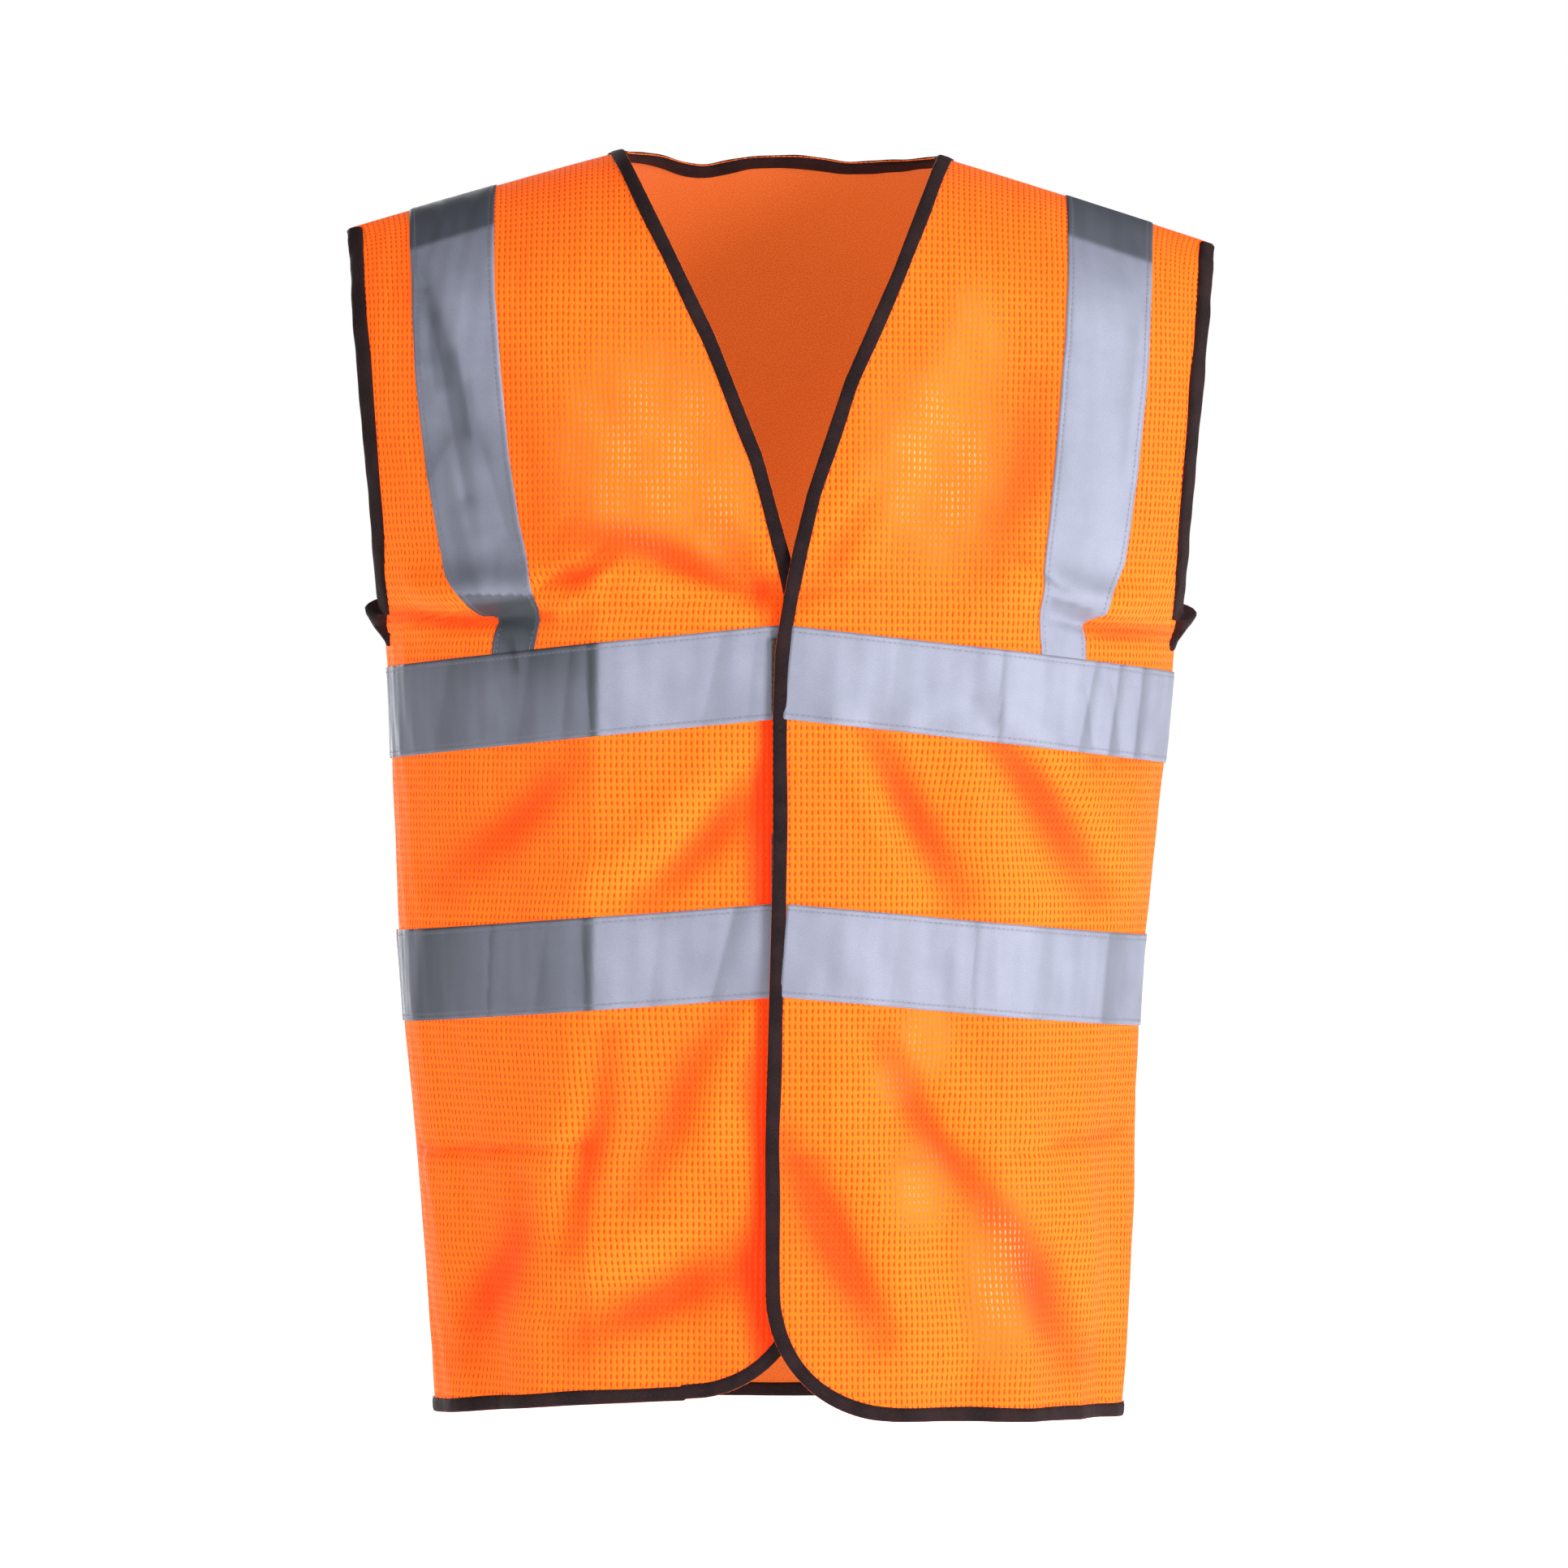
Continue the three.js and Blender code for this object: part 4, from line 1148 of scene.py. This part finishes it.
for hand, name in SIDES.items():
    inner, outer = front_edge_angles[hand]
    hem_angles = np.linspace(inner[0], SIDE_ANGLE * hand, 200)
    angle = np.concatenate([inner[::-1], hem_angles[1:]])
    rise = np.concatenate([front_rise(inner, rows, hand)[::-1], hem_height(hem_angles[1:], hand)])
    bind(f"{name}_front_edge", even_path(angle, rise, BINDING_STEP), hand, hand, f"{name}_front_binding")
    arm = front_rise(outer, rows, hand) >= UNDERARM
    path = even_path(outer[arm], front_rise(outer, rows, hand)[arm], BINDING_STEP)
    bind(f"{name}_armhole_front_edge", path, hand, hand, f"{name}_armhole_front_binding",
         ARMHOLE_BINDING_WIDTH, ARMHOLE_HALF_THICKNESS, 1.0, SHOULDER_OVERLAP)
    outer_back = back_edges[hand]
    arm = back_top_rise(outer_back) * rows >= UNDERARM
    path = even_path(outer_back[arm], (back_top_rise(outer_back) * rows)[arm], BINDING_STEP)
    bind(f"{name}_armhole_back_edge", path, -hand, None, f"{name}_armhole_back_binding",
         ARMHOLE_BINDING_WIDTH, ARMHOLE_HALF_THICKNESS, 1.0, SHOULDER_OVERLAP)

angle = np.linspace(SIDE_ANGLE, 3 * SIDE_ANGLE, 600)
bind("back_hem_edge", even_path(angle, 0 * angle, BINDING_STEP), 1, None, "back_hem_binding")
neck_angle = math.pi - math.asin((NECK_HALF_WIDTH / SHOULDER_HALF_WIDTH) ** (SECTION_POWER / 2))
angle = np.linspace(neck_angle, 2 * math.pi - neck_angle, 300)
bind("back_neck_edge", even_path(angle, back_top_rise(angle), BINDING_STEP), -1, None, "back_neck_binding",
     ARMHOLE_BINDING_WIDTH, NECK_HALF_THICKNESS)

# ---- The sewing ----
# Lockstitches in grey thread hold the tapes, one row along each edge. Dark thread holds the
# bindings, and shows as a short bite across the inner edge of each.
THREAD, THREAD_OUT = 0.42, 0.15
STITCH_PITCH = 3.0
STITCH_LENGTH = 1.7
BITE_PITCH = 8.0
BITE_LENGTH = 2.4


def darker(colour, share):
    return tuple(share * part for part in colour[:3]) + (1,)


def thread_finish(name, colour):
    material, tree, shader = new_finish(name, 0.7, 0.2)
    place = linked_node(tree, "ShaderNodeTexCoord").outputs["Object"]
    tint = blend_colour(tree, noise(tree, place, 900.0), colour, darker(colour, 0.6))
    feed(tree, shader.inputs["Base Color"], tint)
    return material


GREY_THREAD = thread_finish("grey_thread", (0.19, 0.19, 0.25, 1))
DARK_THREAD = thread_finish("dark_thread", (0.035, 0.022, 0.024, 1))


def one_stitch():
    """A short thread, thick in the middle, lying along X: the one shape that every stitch repeats."""
    bm = bmesh.new()
    bmesh.ops.create_uvsphere(bm, u_segments=6, v_segments=4, radius=0.5)
    bmesh.ops.rotate(bm, cent=(0, 0, 0), matrix=Matrix.Rotation(math.pi / 2, 3, "Y"), verts=bm.verts)
    for face in bm.faces:
        face.smooth = True
    mesh = bpy.data.meshes.new("stitch")
    bm.to_mesh(mesh)
    bm.free()
    return mesh


STITCH = one_stitch()
STITCH_POINTS = np.array([vert.co for vert in STITCH.vertices])


def sew(name, hand, lines, pitch, length, crosswise, material):
    """Rows of stitches on one panel. Each line is a panel, a path, and where beside it they lie."""
    placed = []
    for panel, path, offset, out in lines:
        if panel != hand:
            continue
        places = (np.arange(int(path[2][-1] / pitch)) + 0.5) * pitch
        side = np.interp(places, path[2], np.broadcast_to(offset, path[0].shape))
        angle, rise = np.interp(places, path[2], path[0]), np.interp(places, path[2], path[1])
        outward, left = path_frames(angle, rise)
        moved = slide(angle, rise, left * side[:, None])
        middle = cloth(moved[0], moved[1], np.full_like(moved[0], out + THREAD_OUT), skin_of(hand))
        run = left if crosswise else unit(np.gradient(middle, axis=0))
        axes = np.stack([run * length, np.cross(outward, run) * THREAD, outward * THREAD], 1)
        placed.append(middle[:, None] + np.einsum("pa,sab->spb", STITCH_POINTS, axes))
    points = place_in_frame(np.concatenate(placed))
    bm = bmesh.new()
    for _ in points:
        bm.from_mesh(STITCH)
    for vert, co in zip(bm.verts, points.reshape(-1, 3)):
        vert.co = co
    stitches = finished(name, bm, [material])
    hang(stitches, hand, None)
    return stitches


for hand, name in ((LEFT, "left_front"), (RIGHT, "right_front"), (None, "back")):
    sew(f"{name}_tape_stitches", hand, tape_sewing, STITCH_PITCH, STITCH_LENGTH, False, GREY_THREAD)
    sew(f"{name}_binding_stitches", hand, binding_sewing, BITE_PITCH, BITE_LENGTH, True, DARK_THREAD)

# ---- The closure patches ----
# Four pairs of sewn patches hold the fronts together: hooks on the outside of the wearer's right
# front, and loops on the inside of the left one, 18 mm wide and 40 mm tall.
PATCH_WIDTH, PATCH_HEIGHT = 18.0, 40.0
PATCH_MIDDLE_X = 4.0
PATCH_COUNT = 4
LOWEST_PATCH, HIGHEST_PATCH = 68.0, 383.0
PATCH_THICKNESS = 0.8
HOOK_OUT, LOOP_OUT = 2.2, -2.0


def patch_finish(name, colour, grain_size, depth):
    material, tree, shader = new_finish(name, 0.7, 0.4)
    uv = cloth_uv(tree)
    cells = fed(tree, linked_node(tree, "ShaderNodeTexVoronoi"), Vector=uv, Scale=grain_size)
    near = span(tree, cells.outputs["Distance"], 0.1, 0.7)
    tint = blend_colour(tree, near, colour, darker(colour, 0.5))
    feed(tree, shader.inputs["Base Color"], tint)
    bump(tree, shader, minus(tree, 1.0, near), depth, 0.9)
    return material


HOOKS = patch_finish("hook_tape", (0.05, 0.032, 0.030, 1), 900.0, 0.0008)
LOOPS = patch_finish("loop_tape", (0.075, 0.05, 0.045, 1), 500.0, 0.0006)

patches = {LEFT: [], RIGHT: []}
for number in range(PATCH_COUNT):
    bottom = HIGHEST_PATCH + (LOWEST_PATCH - HIGHEST_PATCH) * number / (PATCH_COUNT - 1)
    z = np.linspace(bottom, bottom + PATCH_HEIGHT, 25)
    angle, rise = locate(np.full_like(z, PATCH_MIDDLE_X), z)
    path = (angle, rise, z - bottom)
    shares = np.linspace(-0.5, 0.5, 13)
    rim = 0.35 * (np.abs(shares) > 0.45)
    for kind, hand, out, finish in (("hook", RIGHT, HOOK_OUT, HOOKS), ("loop", LEFT, LOOP_OUT, LOOPS)):
        toward = 1 if kind == "hook" else -1
        points = strip(path, -PATCH_WIDTH * shares, out - toward * rim, FRONT_SKIN[hand])
        uv = np.stack(np.broadcast_arrays(PATCH_WIDTH * shares[None] * MM, path[2][:, None] * MM), -1)
        piece = finished(f"{kind}_tape_{number + 1}", laid_grid(points, np.array(uv)), [finish],
                         PATCH_THICKNESS)
        hang(piece, hand, f"{kind}_patch_{number + 1}")
        patches[hand].append(piece)

# ---- The care label ----
# A blank white satin ribbon, caught in the left side seam inside the vest. The 2.5 mm of it that
# lie in the seam aren't made, so that the rest turns clear of the seam's allowance.
LABEL_WIDTH, LABEL_HEIGHT = 36.0, 60.0
LABEL_BASE = 110.0
LABEL_HINGE = (190.04, 0.3)
LABEL_CLEAR = 2.5
RIBBON = 0.4
LABEL_TURN = math.radians(105)


def satin():
    material, tree, shader = new_finish("label_satin", 0.38, 0.3)
    uv = cloth_uv(tree)
    grain = placed_group(tree, GRAIN, uv, Thread_mm=0.35)
    feed(tree, shader.inputs["Base Color"], blend_colour(tree, grain["Fleck"], (0.82, 0.82, 0.80, 1),
                                                         (0.72, 0.72, 0.71, 1)))
    bump(tree, shader, grain["Height"], 0.0001, 0.5)
    return material


u, v = np.meshgrid(np.linspace(0, 1, 19), np.linspace(0, 1, 31))
bow = 1.6 * np.sin(math.pi * u) * (0.6 + 0.4 * np.cos(2.5 * v)) - 1.2 * u * u * v
away = LABEL_CLEAR + u * (LABEL_WIDTH - LABEL_CLEAR)
points = np.stack([LABEL_HINGE[0] + away * math.cos(LABEL_TURN) - bow * math.sin(LABEL_TURN),
                   LABEL_HINGE[1] + away * math.sin(LABEL_TURN) + bow * math.cos(LABEL_TURN),
                   LABEL_BASE + v * LABEL_HEIGHT], -1)
points = points - hanging_shift(points)
label = finished("care_label_ribbon", laid_grid(points, measured_uv(points)), [satin()], RIBBON)
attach(label, "label")
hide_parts("care_label")

for hand in SIDES:
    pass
